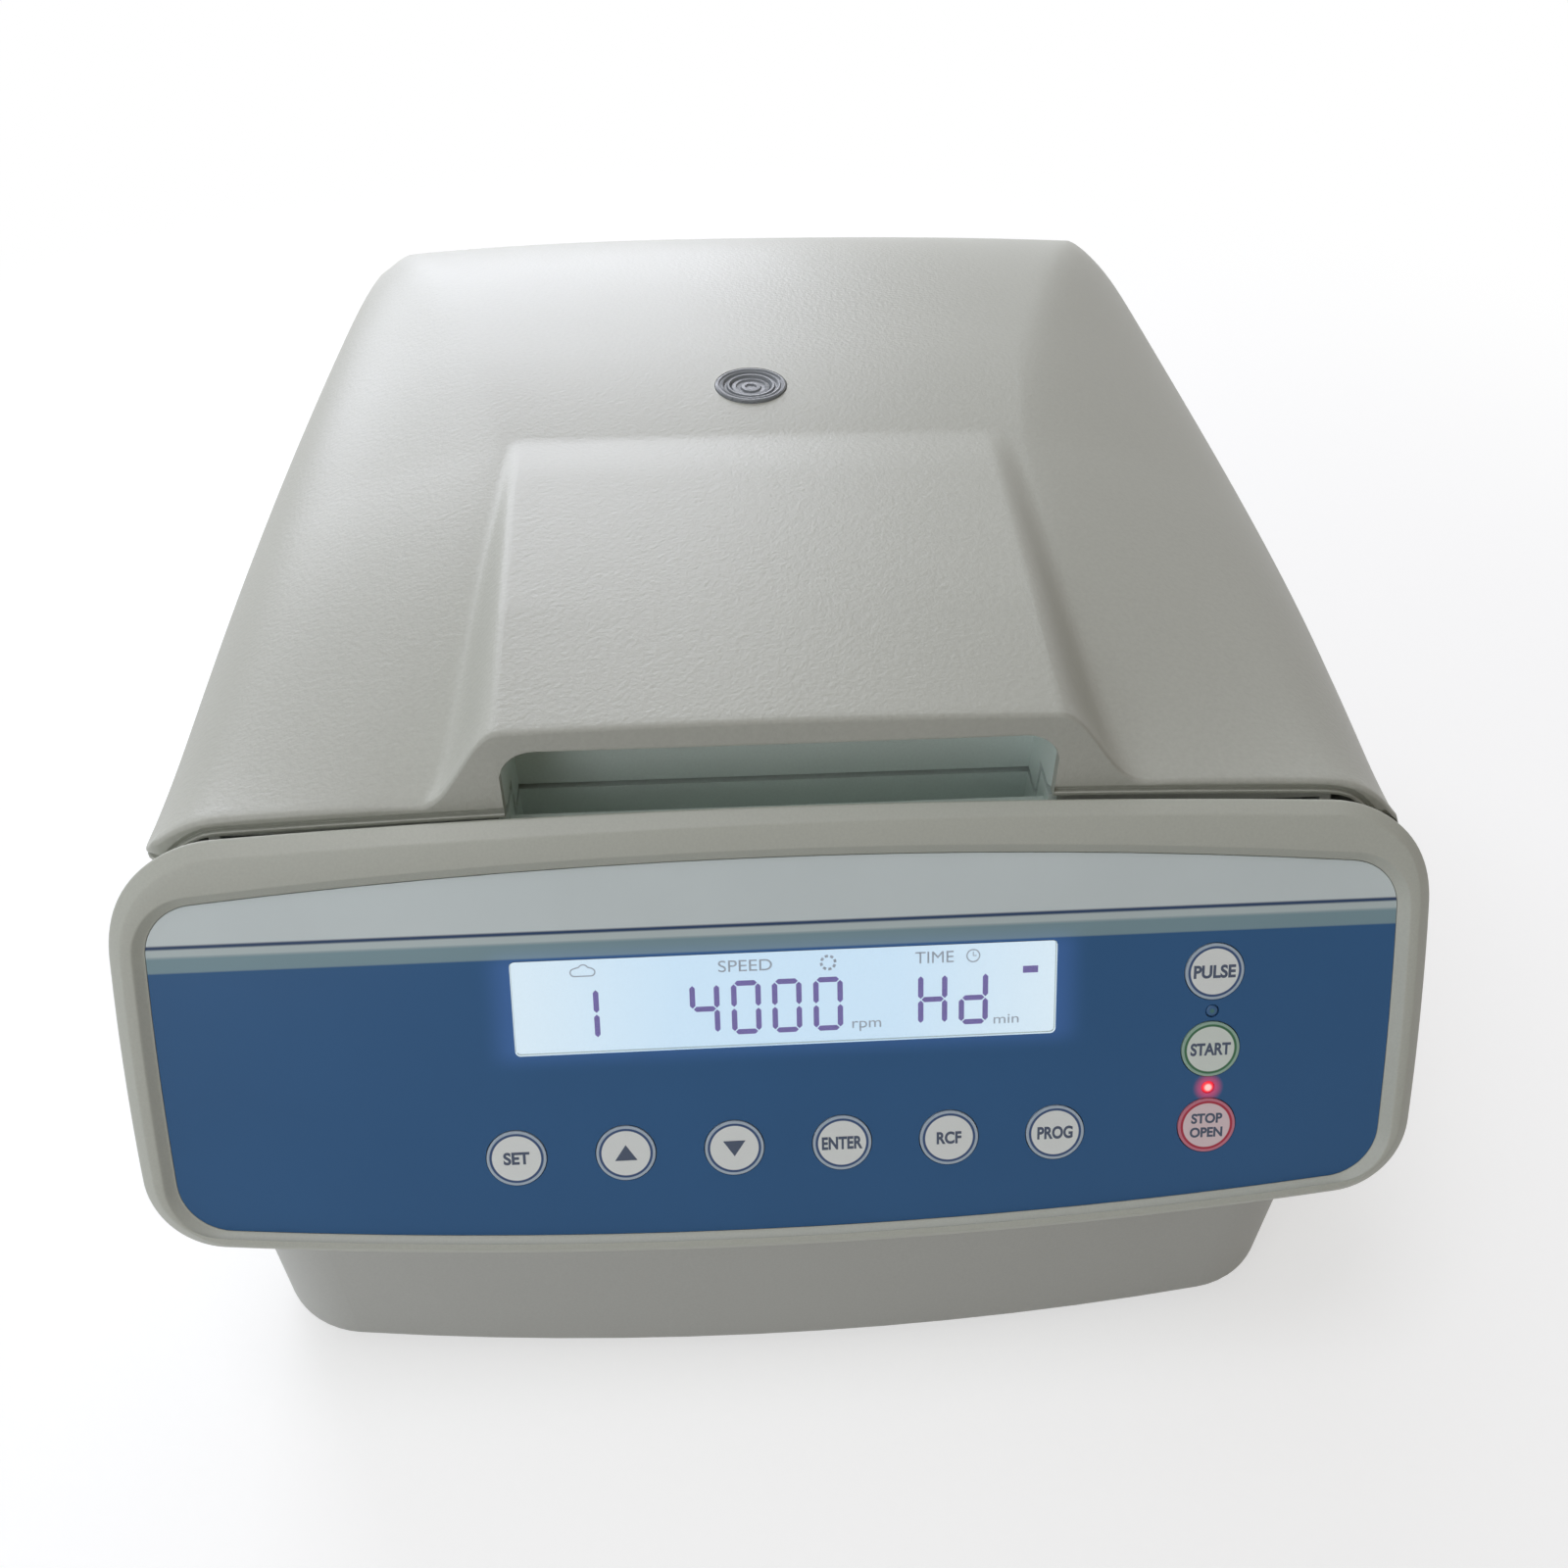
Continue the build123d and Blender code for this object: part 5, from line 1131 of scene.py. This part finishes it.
# %% Lit glass and lamps
def lit_glass(name):
    """Glows by its own back light: whiter towards both ends, with a faint grain from the crystal's cells."""
    finish, tree, shader = new_finish(name, Base_Color=light("#4a5055"), Roughness=0.35)
    place = object_place(tree, PANEL_FOOT)
    across = add(tree, "ShaderNodeSeparateXYZ", {0: place}).outputs[0]
    ends = stretched(tree, reckon(tree, "ABSOLUTE", across), 0, 1, From_Min=0.03, From_Max=0.074)
    join(shader, {"Emission Color": between(tree, ends, light("#cdeaff"), light("#dff3ff")),
                  "Emission Strength": stretched(tree, noise(tree, place, 0.5, 1.0), 0.8, 0.86)})
    return finish


def lamp_lens(name):
    """Above, blue as the film with a small green spot; below, lit pale pink in the middle, red outside."""
    finish, tree, shader = new_finish(name, Roughness=0.3)
    halfway = (LAMP_PLACES["green"][1] + LAMP_PLACES["red"][1]) / 2
    lit = reckon(tree, "LESS_THAN", up_the_slope(tree), halfway * MM)
    green = faded(tree, from_spot(tree, *LAMP_PLACES["green"]), 0.5, 0.9)
    red = faded(tree, from_spot(tree, *LAMP_PLACES["red"]), 0.7, 1.4)
    spot = between(tree, green, light(FILM_BANDS[0][1]), light("#3f7670"))
    body = add(tree, "ShaderNodeMix", {"Factor": lit, "A": spot}, data_type="RGBA", B=light("#a33030"))
    join(shader, {"Base Color": body.outputs["Result"],
                  "Emission Color": between(tree, red, light("#f0263c"), light("#ffd0c8")),
                  "Emission Strength": reckon(tree, "MULTIPLY", lit, 0.9)})
    return finish


LIT_GLASS = lit_glass("display_glass_back_lit")
LAMP_LENS = lamp_lens("indicator_lens_epoxy")
print("lit pieces", 2)

# %% [markdown]
# ## A finish for every carried-over part
# The parts that keep their CAD shape get their finish here: one table from finish to parts, so each
# part is named once. Nothing is left with a plain colour, because the lid opens and the chamber, the
# rotor and the lock can then be seen.

# %% Finishes by part
FINISHES = [
    (FILM, ["membrane_overlay"]), (CLEAR_WINDOW, ["display_window"]), (LIT_GLASS, ["display_module"]),
    (BOARD, ["control_board", "power_board"]), (LAMP_LENS, ["status_lamps"]),
    # The finger scoop and pocket take the recess colour, whose paleness is painted light.
    (CASING_GREY, ["base_tray", "main_housing"]), (RECESS_PAINTED_LIGHT, ["finger_scoop", "finger_pocket"]),
    (LINER_GREY, ["lid_liner", "lid_dome"]), (RUBBER, ["rubber_feet", "motor_dampers"]),
    (GASKET, ["chamber_gasket"]),
    (BLACK_PLASTIC, ["key_switches", "mains_inlet", "switch_frame", "power_rocker"]),
    (ZINC, ["case_screws", "lid_strikers", "hinge_arms", "hinge_brackets", "latch_hooks"]),
    (DRAWN_STEEL_X, ["hinge_pins", "latch_shaft"]), (TURNED_STEEL, ["motor_shaft", "lock_plunger"]),
    (SPRING_STEEL, ["guard_ring"] + ["slide_clip_%d" % i for i in range(1, 7)]),
    (ENAMEL, ["chamber_bowl"]), (CAST_ALU, ["motor_plate"]), (BLACK_PAINT, ["motor_body", "lock_solenoid"]),
    (BRIGHT_RING, ["motor_bearings"]), (TURNED_ALU, ["rotor_head", "rotor_nut"]),
    (WHITE_ACETAL, ["sample_chamber_%d" % i for i in range(1, 7)]),
]
for name, finish in KEY_PRINTS.items():
    FINISHES.append((finish, ["key_" + name]))
dressed = []
for finish, names in FINISHES:
    for name in names:
        part = nodes[name]
        part.data.materials.clear()
        part.data.materials.append(finish)
        dressed.append(name)
left = sorted(set(nodes) - set(dressed) - {"lid_shell", "front_bezel", "view_port"})
print("dressed", len(dressed), "left", left)
